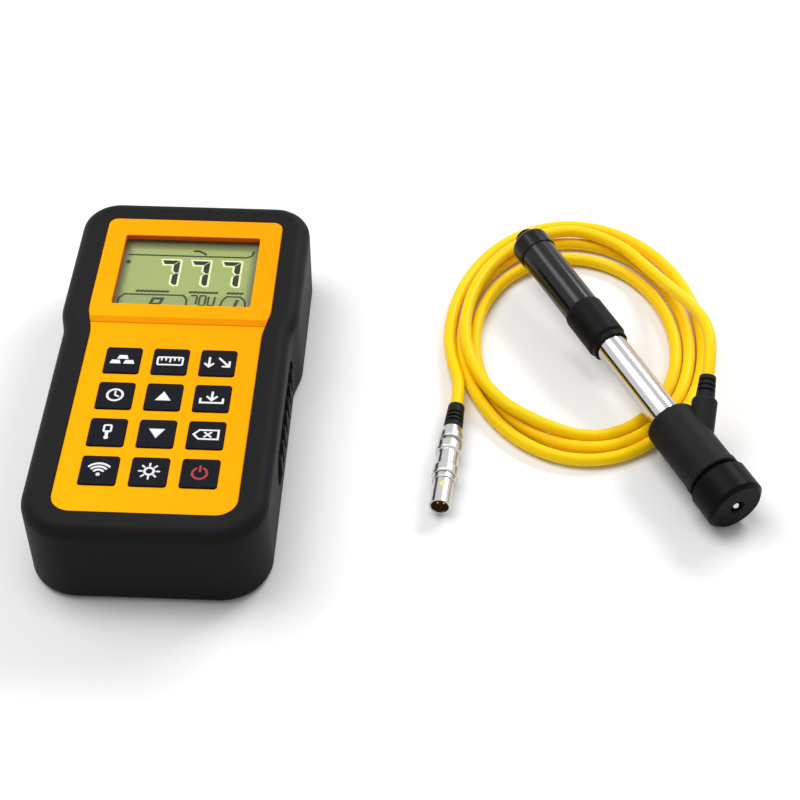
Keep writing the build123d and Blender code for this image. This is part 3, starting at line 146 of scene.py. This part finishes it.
class Wire:
    """A node's output. Used in an expression with numbers or other wires, it adds Math nodes."""

    def __init__(self, finish, socket):
        self.finish = finish
        self.socket = socket

    def _math(self, operation, first, second=0.0):
        return self.finish.node("ShaderNodeMath", {"operation": operation}, {0: first, 1: second})

    def __add__(self, other):
        return self._math("ADD", self, other)

    def __radd__(self, other):
        return self._math("ADD", other, self)

    def __sub__(self, other):
        return self._math("SUBTRACT", self, other)

    def __rsub__(self, other):
        return self._math("SUBTRACT", other, self)

    def __mul__(self, other):
        return self._math("MULTIPLY", self, other)

    def __rmul__(self, other):
        return self._math("MULTIPLY", other, self)

    def __gt__(self, other):
        return self._math("GREATER_THAN", self, other)

    def __lt__(self, other):
        return self._math("LESS_THAN", self, other)

    def __abs__(self):
        return self._math("ABSOLUTE", self)

    def smallest(self, other):
        return self._math("MINIMUM", self, other)

    def biggest(self, other):
        return self._math("MAXIMUM", self, other)


class Finish:
    """A material, or the world, made of nodes, with the place on the piece as its starting point."""

    def __init__(self, name, shelf=bpy.data.materials):
        self.material = shelf.new(name)
        self.material.use_nodes = True
        self.tree = self.material.node_tree
        self.tree.nodes.clear()
        self.place = self.node("ShaderNodeTexCoord", output="Object")

    def node(self, kind, settings=None, inputs=None, output=0):
        """One node: its settings first, then the values or links of its sockets."""
        made = self.tree.nodes.new(kind)
        for name, value in (settings or {}).items():
            setattr(made, name, value)
        for name, value in (inputs or {}).items():
            if isinstance(value, Wire):
                self.tree.links.new(value.socket, made.inputs[name])
            else:
                made.inputs[name].default_value = value
        return Wire(self, made.outputs[output])

    def noise(self, scale, detail=3.0, rough=0.55, stretch=(1, 1, 1)):
        """Soft noise of so many cells a metre."""
        place = self.node("ShaderNodeMapping", inputs={"Vector": self.place, "Scale": stretch})
        return self.node("ShaderNodeTexNoise", inputs={
            "Vector": place, "Scale": scale, "Detail": detail, "Roughness": rough})

    def blend(self, factor, first, second):
        """Colour between two colours."""
        first, second = [c if isinstance(c, Wire) else (*c, 1) for c in (first, second)]
        return self.node("ShaderNodeMix", {"data_type": "RGBA"}, {
            "Factor": factor, 6: first, 7: second}, output=2)

    def axis(self, letter):
        """One coordinate of the place, in millimetres."""
        return self.node("ShaderNodeSeparateXYZ", inputs={"Vector": self.place}, output=letter) * (1 / MM)

    def bump(self, height, depth_mm):
        """Normal of a surface that stands so many millimetres up where the height is 1."""
        return self.node("ShaderNodeBump", inputs={
            "Strength": 1.0, "Distance": depth_mm * MM, "Height": height}, output="Normal")

    def looked_at(self):
        """1 for what the camera sees, straight, in a reflection or through a lens, and 0 for light."""
        camera, glossy, through = [self.node("ShaderNodeLightPath", output=f"Is {ray} Ray")
                                   for ray in ("Camera", "Glossy", "Transmission")]
        return camera.biggest(glossy).biggest(through)

    def shell(self, **inputs):
        """Principled surface; names are its sockets with spaces as underscores."""
        sockets = {name.replace("_", " "): value for name, value in inputs.items()}
        self.close(self.node("ShaderNodeBsdfPrincipled", inputs=sockets, output="BSDF"))
        return self.material

    def close(self, shader, kind="ShaderNodeOutputMaterial"):
        """Ends the tree with this shader."""
        last = self.tree.nodes.new(kind)
        self.tree.links.new(shader.socket, last.inputs["Surface"])


def moulded(name, dark, light, rough, grain=900.0, depth=0.012, **more):
    """Moulded rubber or plastic: cloudy colour, patchy roughness and a fine grain."""
    f = Finish(name)
    cloud = f.noise(45.0)
    fine = f.noise(grain, 2.0)
    roughness = rough - 0.04 + cloud * 0.08 + fine * 0.06
    return f.shell(Base_Color=f.blend(cloud, dark, light), Roughness=roughness, Normal=f.bump(fine, depth), **more)


def metal(name, dark, light, rough):
    """Turned or plated metal: fine marks one way, with patchy polish."""
    f = Finish(name)
    marks = f.noise(1.0, 3.0, 0.6, (60.0, 60.0, 900.0))
    cloud = f.noise(70.0)
    roughness = rough - 0.03 + cloud * 0.06 + marks * 0.05
    return f.shell(Base_Color=f.blend(cloud, dark, light), Metallic=1.0, Roughness=roughness,
                   Normal=f.bump(marks, 0.0005))


def face_finish():
    """Satin orange moulding, with painted shading that deepens it towards the upper right, painted shade in dark
    red on the window's walls, and a line of painted shade in the fold under the display block."""
    f = Finish("face_orange")
    x, y, z = f.axis("X"), f.axis("Y"), f.axis("Z")
    # Painted shading: lighter at the lower left, deeper orange towards the upper right.
    shade_slope = f.node("ShaderNodeClamp", inputs={"Value": 0.55 + x * 0.006 + y * 0.005})
    cloud = f.noise(30.0)
    fine = f.noise(1100.0, 2.0)
    colour = f.blend(shade_slope * 0.88 + cloud * 0.12, (1.0, 0.46, 0.0), (1.0, 0.33, 0.0))
    # Painted shade: the window's walls, up to WALL_TOP, are darkened to a deep red.
    across = abs(x) < WINDOW_WIDTH / 2 + WINDOW_EDGE
    along = abs(y - WINDOW_Y) < WINDOW_LENGTH / 2 + WINDOW_EDGE
    wall_shade = across * along * (z < WALL_TOP)
    colour = f.blend(wall_shade, colour, (0.85, 0.12, 0.0))
    # Painted shade: a dark line in the fold under the display block.
    fold_shade = (abs(y - FOLD_Y) < FOLD_HALF) * (z > FOLD_LOW)
    colour = f.blend(fold_shade * 0.75, colour, (0.75, 0.14, 0.0))
    return f.shell(Base_Color=colour, Roughness=0.34 + cloud * 0.06 + fine * 0.05,
                   Normal=f.bump(fine, 0.008), Specular_IOR_Level=0.05)


def panel_finish():
    """Liquid crystal panel: green ground, greyer strips above and below, painted shade in grey that fades
    inwards from the window's edge, and a faint painted glow."""
    f = Finish("lcd_glass")
    x, y = f.axis("X"), f.axis("Y")
    edge = (WINDOW_WIDTH / 2 - abs(x)).smallest(WINDOW_LENGTH / 2 - abs(y - WINDOW_Y))
    # Painted shade: the panel darkens to grey towards the window's edge.
    rim = f.node("ShaderNodeMapRange", inputs={
        "Value": edge, "From Min": 1.2, "From Max": 3.4, "To Min": 1.0, "To Max": 0.0})
    strip = (y > STRIP_ABOVE).biggest(y < STRIP_BELOW)
    cloud = f.noise(60.0)
    colour = f.blend(cloud, (0.32, 0.39, 0.14), (0.37, 0.44, 0.17))
    colour = f.blend(strip * 0.35, colour, (0.24, 0.25, 0.14))
    colour = f.blend(rim * 0.75, colour, (0.17, 0.165, 0.105))
    # The emission is a faint painted glow that lifts the panel's brightness.
    return f.shell(Base_Color=colour, Roughness=0.35 + cloud * 0.08,
                   Normal=f.bump(cloud, 0.004), Emission_Color=colour, Emission_Strength=0.06)


def window_finish():
    """Clear lens: see-through, with a thin gloss on its outer side that grows towards grazing angles."""
    f = Finish("window_clear")
    cloud = f.noise(80.0)
    gloss = f.node("ShaderNodeBsdfPrincipled", inputs={
        "Base Color": (0.0, 0.0, 0.0, 1), "Roughness": 0.04 + cloud * 0.05,
        "Normal": f.bump(cloud, 0.002)}, output="BSDF")
    clear = f.node("ShaderNodeBsdfTransparent", inputs={"Color": (0.97, 0.98, 0.95, 1)})
    edge = f.node("ShaderNodeLayerWeight", inputs={"Blend": 0.3}, output="Fresnel")
    outer = 1.0 - f.node("ShaderNodeNewGeometry", output="Backfacing")
    f.close(f.node("ShaderNodeMixShader", inputs={"Fac": edge * outer * 0.5, 1: clear, 2: gloss}))
    return f.material


def printed(name, colour, rough=0.5, glow=0.0):
    """Printed ink, slightly uneven. Glow is painted light: the ink shines as if the panel's light showed through
    it.
    """
    f = Finish(name)
    cloud = f.noise(400.0)
    shade = f.blend(cloud, colour, tuple(c * 0.86 for c in colour))
    return f.shell(Base_Color=shade, Roughness=rough + cloud * 0.1, Normal=f.bump(cloud, 0.003),
                   Emission_Color=shade, Emission_Strength=glow)


FINISHES = {
    "boot_rubber": moulded("boot_rubber", (0.0050, 0.0052, 0.0056), (0.0085, 0.0088, 0.0094), 0.52, 700.0, 0.02,
                           Specular_IOR_Level=0.08),
    "face_orange": face_finish(),
    "case_black": moulded("case_black", (0.008, 0.008, 0.0085), (0.014, 0.014, 0.0145), 0.45, 900.0, 0.03,
                          Specular_IOR_Level=0.3),
    "key_rubber": moulded("key_rubber", (0.0035, 0.004, 0.008), (0.006, 0.007, 0.012), 0.5, 1100.0, 0.01,
                          Specular_IOR_Level=0.07),
    "window_clear": window_finish(),
    "lcd_glass": panel_finish(),
    "light_guide": moulded("light_guide", (0.7, 0.75, 0.6), (0.8, 0.85, 0.7), 0.4),
    "board_green": moulded("board_green", (0.01, 0.08, 0.03), (0.02, 0.12, 0.05), 0.35),
    "steel": metal("steel", (0.5, 0.5, 0.5), (0.64, 0.64, 0.63), 0.24),
    "spring_steel": metal("spring_steel", (0.4, 0.4, 0.4), (0.52, 0.52, 0.5), 0.3),
    "cell_jacket": moulded("cell_jacket", (0.04, 0.04, 0.05), (0.06, 0.06, 0.07), 0.3),
    "tube_chrome": metal("tube_chrome", (0.50, 0.49, 0.50), (0.60, 0.59, 0.60), 0.11),
    "housing_grey": moulded("housing_grey", (0.008, 0.008, 0.0085), (0.013, 0.013, 0.0135), 0.5, 800.0, 0.03,
                            Specular_IOR_Level=0.09),
    "ring_black": moulded("ring_black", (0.002, 0.002, 0.002), (0.0035, 0.0035, 0.0035), 0.38, 1200.0, 0.006,
                          Specular_IOR_Level=0.06),
    "grip_black": moulded("grip_black", (0.002, 0.002, 0.002), (0.0035, 0.0035, 0.0035), 0.45, 1300.0, 0.01,
                          Specular_IOR_Level=0.08),
    "sleeve_gloss": moulded("sleeve_gloss", (0.004, 0.0044, 0.005), (0.006, 0.0064, 0.007), 0.14, 1500.0, 0.0003,
                            Specular_IOR_Level=0.3),
    "cap_gloss": moulded("cap_gloss", (0.002, 0.002, 0.002), (0.003, 0.003, 0.003), 0.2, 1500.0, 0.002,
                         Specular_IOR_Level=0.18),
    "relief_rubber": moulded("relief_rubber", (0.006, 0.006, 0.006), (0.010, 0.010, 0.010), 0.5, 900.0, 0.02,
                             Specular_IOR_Level=0.1),
    "lead_yellow": moulded("lead_yellow", (1.0, 0.60, 0.0), (1.0, 0.69, 0.002), 0.34, 700.0, 0.02,
                           Specular_IOR_Level=0.14),
    "plug_chrome": metal("plug_chrome", (0.50, 0.50, 0.49), (0.62, 0.62, 0.60), 0.17),
    "insert_plastic": moulded("insert_plastic", (0.22, 0.12, 0.04), (0.32, 0.18, 0.06), 0.4),
    "contact_gold": metal("contact_gold", (0.85, 0.5, 0.14), (0.95, 0.6, 0.2), 0.22),
    "copper": metal("copper", (0.6, 0.25, 0.1), (0.7, 0.32, 0.15), 0.3),
    "magnet": metal("magnet", (0.3, 0.3, 0.3), (0.4, 0.4, 0.4), 0.3),
    "ball_carbide": metal("ball_carbide", (0.62, 0.62, 0.63), (0.72, 0.72, 0.72), 0.1),
    "digit_black": printed("digit_black", (0.002, 0.0025, 0.0015)),
    # Painted glow around the digits: pale ink that shines.
    "digit_halo": printed("digit_halo", (0.80, 0.86, 0.50), 0.4, 0.2),
    "mark_grey": printed("mark_grey", (0.022, 0.032, 0.012), 0.45),
    "legend_white": printed("legend_white", (0.82, 0.83, 0.84)),
    "dot_cream": printed("dot_cream", (0.85, 0.68, 0.28)),
    "legend_red": printed("legend_red", (0.38, 0.008, 0.006)),
}


def dress_frame():
    """Every carried-over solid gets its own finish from its material slot."""
    for row in frame["record"]["subparts"]:
        node = frame["nodes"][row["node"]]
        finish = FINISHES[row["material_slot"]]
        if node.material_slots:
            for place in node.material_slots:
                place.material = finish
        else:
            node.data.materials.append(finish)


def piece(name, points, faces, finish, body, slot):
    """Mesh piece from points in millimetres and faces, on its body."""
    mesh = bpy.data.meshes.new(name)
    mesh.from_pydata((np.asarray(points) * MM).tolist(), [], [list(map(int, face)) for face in faces])
    mesh.materials.append(FINISHES[finish])
    mesh.update()
    made = bpy.data.objects.new(name, mesh)
    scene.collection.objects.link(made)
    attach(made, body)
    return made


def prism(outline, low, high):
    """Upright prism: the outline's points at two heights, joined by a ring of walls and two caps."""
    outline = np.asarray(outline, float)
    area = np.sum(outline[:, 0] * np.roll(outline[:, 1], -1) - np.roll(outline[:, 0], -1) * outline[:, 1])
    if area < 0:
        outline = outline[::-1]
    count = len(outline)
    points = np.vstack([np.c_[outline, np.full(count, z)] for z in (low, high)])
    here = np.arange(count)
    after = (here + 1) % count
    walls = np.c_[here, after, after + count, here + count].tolist()
    return points, walls + [here[::-1].tolist(), (here + count).tolist()]


def joined(shapes):
    """Several (points, faces) shapes as one."""
    points, faces, start = [], [], 0
    for some, rows in shapes:
        points.append(some)
        faces += [[index + start for index in row] for row in rows]
        start += len(some)
    return np.vstack(points), faces


def unit(rows):
    """Each row as a direction of length 1."""
    return rows / np.linalg.norm(rows, axis=1)[:, None]


def line(points, width, closed=False):
    """A stroke: the points of its middle line and the half widths there. An open one gets round
    ends, where the half width falls as the sine while the place moves on as the cosine."""
    points = np.asarray(points, float)
    half = np.full(len(points), width / 2)
    if not closed:
        turn = np.radians([4.0, 30.0, 60.0])
        reach, narrow = np.cos(turn)[:, None] * width / 2, np.sin(turn) * width / 2
        ways = unit(np.array([points[0] - points[1], points[-1] - points[-2]]))
        points = np.vstack([points[0] + reach * ways[0], points, points[-1] + reach[::-1] * ways[1]])
        half = np.concatenate([narrow, half, narrow[::-1]])
    return points, half, closed


def skin(sides, count, closed=False):
    """Faces over side lines of so many points each. Seen along the way they go, the sides follow each
    other against the clock. Four-sided faces join each side to the next, and an open one gets two caps."""
    here = np.arange(count if closed else count - 1)
    after = (here + 1) % count
    faces = []
    for side in range(sides):
        base, upper = side * count, (side + 1) % sides * count
        faces += np.c_[after + base, after + upper, here + upper, here + base].tolist()
    if not closed:
        start = np.arange(sides) * count
        faces += [start.tolist(), (start + count - 1)[::-1].tolist()]
    return faces


def ribbon(stroke, low, high):
    """Rectangular section carried along a stroke. Each side point lies on the mitre, the line that
    halves the corner, at the half width over the cosine of half the turn."""
    points, half, closed = stroke
    before, after = np.roll(points, 1, axis=0), np.roll(points, -1, axis=0)
    if not closed:
        before[0], after[-1] = 2 * points[0] - points[1], 2 * points[-1] - points[-2]
    first, second = unit(points - before), unit(after - points)
    mitre = unit(first + second)
    push = (half / np.sum(mitre * first, axis=1))[:, None] * np.c_[-mitre[:, 1], mitre[:, 0]]
    count = len(points)
    rows = [(points + push, low), (points - push, low), (points - push, high), (points + push, high)]
    return np.vstack([np.c_[side, np.full(count, z)] for side, z in rows]), skin(4, count, closed)


def raised(shapes, low, thick, step=0.004):
    """Strokes and filled outlines as one shape, each a little thicker than the one before, so that no
    two tops share a plane where they cross."""
    parts = []
    for number, shape in enumerate(shapes):
        high = low + thick + step * number
        parts.append(ribbon(shape, low, high) if isinstance(shape, tuple) else prism(shape, low, high))
    return joined(parts)


def curve(centre, radius, start, end, steps=32):
    """Points of an arc. Angles in degrees."""
    turn = np.radians(np.linspace(start, end, steps))
    return np.c_[np.cos(turn), np.sin(turn)] * radius + centre


def disc(centre, radius):
    """Filled circle's outline."""
    return curve(centre, radius, 0, 360 - 360 / DISC_SIDES, DISC_SIDES)


def circle(centre, radius, width):
    """Circle as a closed stroke."""
    return line(curve(centre, radius, 0, 352.5, 48), width, closed=True)


def box_line(x0, y0, x1, y1, width, round_by=0.5):
    """Rounded rectangle as one closed stroke."""
    corners = [(x1 - round_by, y1 - round_by, 0), (x0 + round_by, y1 - round_by, 90),
               (x0 + round_by, y0 + round_by, 180), (x1 - round_by, y0 + round_by, 270)]
    return line(np.vstack([curve((x, y), round_by, a, a + 90, 6) for x, y, a in corners]), width, closed=True)


# The keys' signs, drawn about each key's middle. Those with an array are filled outlines.
LINE = 0.8
LEGENDS = {
    "key_material": [
        np.array([(-4.3, -1.9), (-0.4, -1.9), (-1.0, -0.1), (-3.7, -0.1)]),
        np.array([(0.4, -1.9), (4.3, -1.9), (3.7, -0.1), (1.0, -0.1)]),
        np.array([(-1.95, 0.4), (1.95, 0.4), (1.35, 2.2), (-1.35, 2.2)]),
    ],
    "key_scale": [box_line(-4.3, -1.8, 4.3, 1.8, 0.7)]
    + [line([(x, 1.8), (x, 0.4 if x % 2 else -0.4)], 0.6) for x in (-3, -1.5, 0, 1.5, 3)],
    "key_direction": [
        line([(-2.9, 2.2), (-2.9, -1.9)], LINE), line([(-4.3, -0.7), (-2.9, -2.1), (-1.5, -0.7)], LINE),
        line([(0.5, 2.0), (3.8, -1.6)], LINE), line([(1.9, -1.9), (4.1, -1.9), (4.1, 0.4)], LINE),
    ],
    "key_time": [circle((0, 0), 2.6, LINE), line([(0, 1.6), (0, 0), (1.25, -0.7)], 0.65)],
    "key_up": [np.array([(-2.7, -1.9), (2.7, -1.9), (0, 2.3)])],
    "key_memory": [
        line([(-3.8, -0.5), (-3.8, -2.3), (3.8, -2.3), (3.8, -0.5)], LINE),
        line([(0, 2.6), (0, -0.9)], LINE), line([(-1.6, 0.5), (0, -1.1), (1.6, 0.5)], LINE),
    ],
    "key_probe": [box_line(-1.2, 0.0, 1.2, 2.9, 0.7), line([(0, 0.0), (0, -1.5)], 1.1), disc((0, -2.6), 0.8)],
    "key_down": [np.array([(-2.7, 1.9), (0, -2.3), (2.7, 1.9)])],
    "key_delete": [
        line([(-4.1, 0), (-2.3, 2.0), (4.1, 2.0), (4.1, -2.0), (-2.3, -2.0)], 0.7, closed=True),
        line([(-0.5, 1.0), (1.7, -1.0)], 0.65), line([(-0.5, -1.0), (1.7, 1.0)], 0.65),
    ],
    "key_wireless": [disc((0, -2.0), 0.7)]
    + [line(curve((0, -2.0), radius, 45, 135), LINE) for radius in (2.0, 3.35, 4.7)],
    "key_light": [circle((0, 0), 1.5, LINE)] + [
        line([(2.35 * math.cos(a), 2.35 * math.sin(a)), (3.3 * math.cos(a), 3.3 * math.sin(a))], 0.65)
        for a in np.radians(range(0, 360, 45))],
    "key_power": [line(curve((0, -0.2), 2.4, 120, 420), LINE), line([(0, 0.7), (0, 2.9)], LINE)],
}
KEYS = [
    ["key_material", "key_scale", "key_direction"], ["key_time", "key_up", "key_memory"],
    ["key_probe", "key_down", "key_delete"], ["key_wireless", "key_light", "key_power"],
]


def key_legends():
    """Printed sign on each key, which moves with the key."""
    for row, names in enumerate(KEYS):
        for column, name in enumerate(names):
            centre = (column - 1) * KEY_PITCH_X, KEYPAD_Y + (1.5 - row) * KEY_PITCH_Y, 0.0
            points, faces = raised(LEGENDS[name], KEY_TOP, SIGN_THICK)
            finish = "legend_red" if name == "key_power" else "legend_white"
            piece("legend_" + name[4:], points + centre, faces, finish, name, "key_rubber")


def seven(left, grow=0.0):
    """Segments of a seven, each pushed out by so much: the top bar and two right bars with a break
    between them, with slanted ends that meet their neighbours a hair apart."""
    low, stroke = DIGIT_LOW, DIGIT_STROKE
    top, right = low + DIGIT_HEIGHT, left + DIGIT_WIDTH
    half = low + DIGIT_HEIGHT / 2
    cut = stroke * 0.5
    bars = [
        [(left - grow, top + grow), (right - 0.1 + grow, top + grow), (right - stroke - 0.1, top - stroke - grow),
         (left + cut - grow, top - stroke - grow)],
        [(right + grow, top - 0.25 + grow), (right + grow, half + 0.1), (right - cut, half - 0.1 - grow),
         (right - stroke - grow, half + cut), (right - stroke - grow, top - stroke - 0.2)],
        [(right + grow, half - 0.5), (right + grow, low + 0.3 - grow), (right - cut, low - grow),
         (right - stroke - grow, low + cut + 0.2 - grow), (right - stroke - grow, half - cut - 0.4),
         (right - cut, half - 0.35)],
    ]
    return [np.array(rows) for rows in bars]


def display_marks():
    """The reading with a painted pale glow around it, and the lines and small marks around it."""
    # Painted glow: pale, shining pieces grown out around each digit.
    glow_shapes = [shape for left in DIGIT_LEFTS for shape in seven(left, GLOW_GROW)]
    digits = [shape for left in DIGIT_LEFTS for shape in seven(left)]
    low = GLASS_TOP + MARK_GAP
    piece("display_painted_glow", *raised(glow_shapes, low, GLOW_THICK, 0.0015), "digit_halo", "tester", "lcd_glass")
    piece("display_digits", *raised(digits, low, MARK_THICK, 0.001), "digit_black", "tester", "lcd_glass")
    marks = [
        line([(-23.2, 54.9), (20.3, 54.9), (22.0, 56.0), (22.4, 58.2)], 0.75),
        line([(0.6, 57.8), (2.4, 57.8), (4.2, 56.7), (5.0, 56.0)], 0.95),
        line([(-23.6, 28.0), (-23.4, 31.4), (-21.7, 33.6), (-0.4, 33.6), (1.0, 31.4), (1.0, 28.0)], 0.75),
        line([(13.2, 28.0), (13.8, 31.4), (15.2, 33.6), (20.0, 33.6), (21.8, 31.6), (22.3, 28.0)], 0.75),
        line([(-11.8, 28.8), (-11.0, 31.6), (-7.6, 31.6), (-8.4, 28.8)], 1.1, closed=True),
        line([(18.4, 28.6), (19.1, 31.6)], 1.2), disc((-22.9, 50.9), 0.95),
    ]
    for left, signs in ((2.3, "top right"), (5.5, "top left low right"), (8.7, "left low right")):
        sides = {"top": [(0.3, 5.0), (2.1, 5.0)], "low": [(0.1, 0.0), (1.9, 0.0)],
                 "left": [(0.0, 0.7), (0.1, 4.3)], "right": [(2.1, 0.7), (2.3, 4.3)]}
        marks += [line(np.array(sides[sign]) + (left, 28.7), 0.75) for sign in signs.split()]
    rows = [np.arange(-17.4, -6.0, 1.5), np.arange(1.8, 11.4, 1.5), np.arange(15.4, 20.6, 1.5)]
    marks += [line([(x, 35.3), (x + 0.6, 35.5)], 1.15) for row in rows for x in row]
    piece("display_lines", *raised(marks, low, MARK_THICK, 0.0005), "mark_grey", "tester", "lcd_glass")


def loading_spring():
    """Round wire wound on a cylinder. Its middle line turns at one radius and climbs evenly, and its
    ring of points is the wire's circle between the way out from the axis and the way across the wire.
    The real spring shortens towards the tube's collar while the sleeve is pushed in; this mesh keeps one length."""
    share = np.linspace(0, 1, STEPS_PER_TURN * SPRING_TURNS + 1)[:, None]
    angle = 2 * math.pi * SPRING_TURNS * share
    climb = SPRING_HIGH - SPRING_LOW - SPRING_WIRE
    pitch = climb / (2 * math.pi * SPRING_TURNS)
    flat = 0 * angle
    out = np.hstack([np.cos(angle), np.sin(angle), flat])
    way = unit(np.hstack([-SPRING_RADIUS * np.sin(angle), SPRING_RADIUS * np.cos(angle), flat + pitch]))
    side = np.cross(out, way)
    middle = SPRING_RADIUS * out + np.hstack([flat, flat, SPRING_LOW + SPRING_WIRE / 2 + climb * share])
    around = np.linspace(0, 2 * math.pi, WIRE_SIDES, endpoint=False)
    sides = [middle + SPRING_WIRE / 2 * (math.cos(a) * out + math.sin(a) * side) for a in around]
    axis = np.array(DEVICE_AXIS)
    across = np.array([-axis[1], axis[0], 0]) / math.hypot(axis[0], axis[1])
    points = np.vstack(sides) @ np.array([across, np.cross(axis, across), axis]) + DEVICE_NOSE
    made = piece("loading_spring_wire", points, skin(WIRE_SIDES, len(share)), "spring_steel", "tester",
                 "spring_steel")
    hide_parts("loading_spring")
    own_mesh(made)


def plug_dot():
    """Printed dot on top of the plug's shell, where the plug is keyed: a round patch wrapped on the
    shell, each point at the shell's radius over its place across and along the axis."""
    turn = math.radians(PLUG_TURN)
    across = np.array([math.cos(turn), math.sin(turn), 0])
    along = np.array([-math.sin(turn), math.cos(turn), 0])
    spot = np.vstack([[(0.0, 0.0)], *[disc((0, 0), radius) for radius in DOT_RINGS]])
    angle = spot[:, 0] / PLUG_SHELL
    sheets = []
    for radius in (PLUG_SHELL - DOT_SUNK, PLUG_SHELL + DOT_PROUD):
        side, up = radius * np.sin(angle), radius * np.cos(angle)
        sheets.append(np.outer(side, across) + np.outer(DOT_ALONG + spot[:, 1], along) + up[:, None] * (0, 0, 1))
    here = np.arange(DISC_SIDES)
    after = (here + 1) % DISC_SIDES
    top = [[0, 1 + a, 1 + b] for a, b in zip(here, after)]
    for ring in range(len(DOT_RINGS) - 1):
        start = 1 + ring * DISC_SIDES
        top += np.c_[here + start, here + start + DISC_SIDES, after + start + DISC_SIDES, after + start].tolist()
    whole = len(spot)
    rim = whole - DISC_SIDES
    faces = [[i + whole for i in row] for row in top] + [row[::-1] for row in top]
    faces += np.c_[here + rim, after + rim, after + rim + whole, here + rim + whole].tolist()
    piece("plug_dot", np.vstack(sheets) + PLUG_NOSE, faces, "dot_cream", "tester", "plug_chrome")


def lane_point(angle, lane, height):
    """Point of the coil: on the oval that lies the lane's share of the way from the hole to the outside.
    A spline of this order passes inside its points, at three quarters of a point and an eighth of each
    neighbour, so the points stand out by one over (0.75 + 0.25 cosine of the step)."""
    x, y, half_width, half_length = [a + (b - a) * lane for a, b in zip(HOLE, OUTER)]
    grow = 1 / (0.75 + 0.25 * math.cos(math.radians(TURN_STEP)))
    turn = math.radians(angle)
    return (x + half_width * grow * math.cos(turn), y + half_length * grow * math.sin(turn), height)


def lead():
    """Lead on one spline: out of the device, round the coil, and into the plug."""
    angles = range(COIL_START, COIL_END + 1, TURN_STEP)
    lanes, heights = np.interp(angles, *zip(*LANES)), np.interp(angles, *zip(*HEIGHTS))
    route = [*FROM_DEVICE, *map(lane_point, angles, lanes, heights), *TO_PLUG]
    path = bpy.data.curves.new("lead", "CURVE")
    path.dimensions = "3D"
    path.bevel_depth = LEAD_DIAMETER / 2 * MM
    path.bevel_resolution = 5
    path.resolution_u = 4
    path.use_fill_caps = True
    spline = path.splines.new("NURBS")
    spline.points.add(len(route) - 1)
    spline.points.foreach_set("co", [v for point in route for v in (*(c * MM for c in point), 1.0)])
    spline.order_u = 3
    spline.use_endpoint_u = True
    path.materials.append(FINISHES["lead_yellow"])
    made = bpy.data.objects.new("lead", path)
    scene.collection.objects.link(made)
    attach(made, "tester")
    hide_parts("lead_start", "lead_coil", "lead_end")


def stand(made, place, aim):
    """Puts a lamp or the camera at a place, facing a point."""
    made.location = place
    made.rotation_euler = (Vector(aim) - Vector(place)).to_track_quat("-Z", "Y").to_euler()
    scene.collection.objects.link(made)


def lamp(name, place, width, length, power):
    """Soft rectangular lamp that faces the middle of what is shown."""
    light = bpy.data.lights.new(name, "AREA")
    light.shape = "RECTANGLE"
    light.size = width
    light.size_y = length
    light.energy = power
    stand(bpy.data.objects.new(name, light), place, MIDDLE)


def studio():
    """Pale floor and soft lamps. The world gives a low even light. It is white where it is looked at,
    straight or in a reflection, and so is the floor far from the object."""
    mesh = bpy.data.meshes.new("floor")
    corners = [(x * FLOOR_HALF, y * FLOOR_HALF, -FLOOR_DROP) for x, y in ((-1, -1), (1, -1), (1, 1), (-1, 1))]
    mesh.from_pydata(corners, [], [(0, 1, 2, 3)])
    f = Finish("floor_paper")
    colour = f.blend(f.noise(3.0), (0.90, 0.90, 0.90), (0.93, 0.93, 0.93))
    paper = f.node("ShaderNodeBsdfPrincipled", inputs={"Base Color": colour, "Roughness": 0.9}, output="BSDF")
    white = f.node("ShaderNodeEmission", inputs={"Color": (1, 1, 1, 1), "Strength": 1.0}, output="Emission")
    away = f.node("ShaderNodeVectorMath", {"operation": "LENGTH"}, {0: f.place}, output="Value")
    far = f.node("ShaderNodeMapRange", inputs={"Value": away, "From Min": FLOOR_NEAR, "From Max": FLOOR_FAR})
    f.close(f.node("ShaderNodeMixShader", inputs={"Fac": far * f.looked_at(), 1: paper, 2: white}))
    mesh.materials.append(f.material)
    floor = bpy.data.objects.new("floor", mesh)
    scene.collection.objects.link(floor)
    lamp("key_lamp", (-0.55, 0.25, 1.3), 0.9, 0.9, 10.5)
    lamp("back_lamp", (0.75, 0.9, 0.9), 0.7, 0.3, 9.0)
    lamp("top_lamp", (0.1, 0.15, 1.5), 0.5, 0.5, 4.0)
    f = Finish("studio", bpy.data.worlds)
    strength = EVEN_LIGHT + f.looked_at() * (1 - EVEN_LIGHT)
    f.close(f.node("ShaderNodeBackground", inputs={
        "Color": (1, 1, 1, 1), "Strength": strength}, output="Background"), "ShaderNodeOutputWorld")
    scene.world = f.material


def camera():
    """Camera at the photograph's viewing angle on the display unit."""
    lens = bpy.data.cameras.new("camera")
    lens.lens = LENS_MM
    lens.sensor_width = SENSOR_MM
    scene.camera = bpy.data.objects.new("camera", lens)
    stand(scene.camera, CAMERA_PLACE, CAMERA_AIM)


camera()
lead()
dress_frame()
key_legends()
display_marks()
loading_spring()
plug_dot()
studio()

bpy.context.view_layer.update()
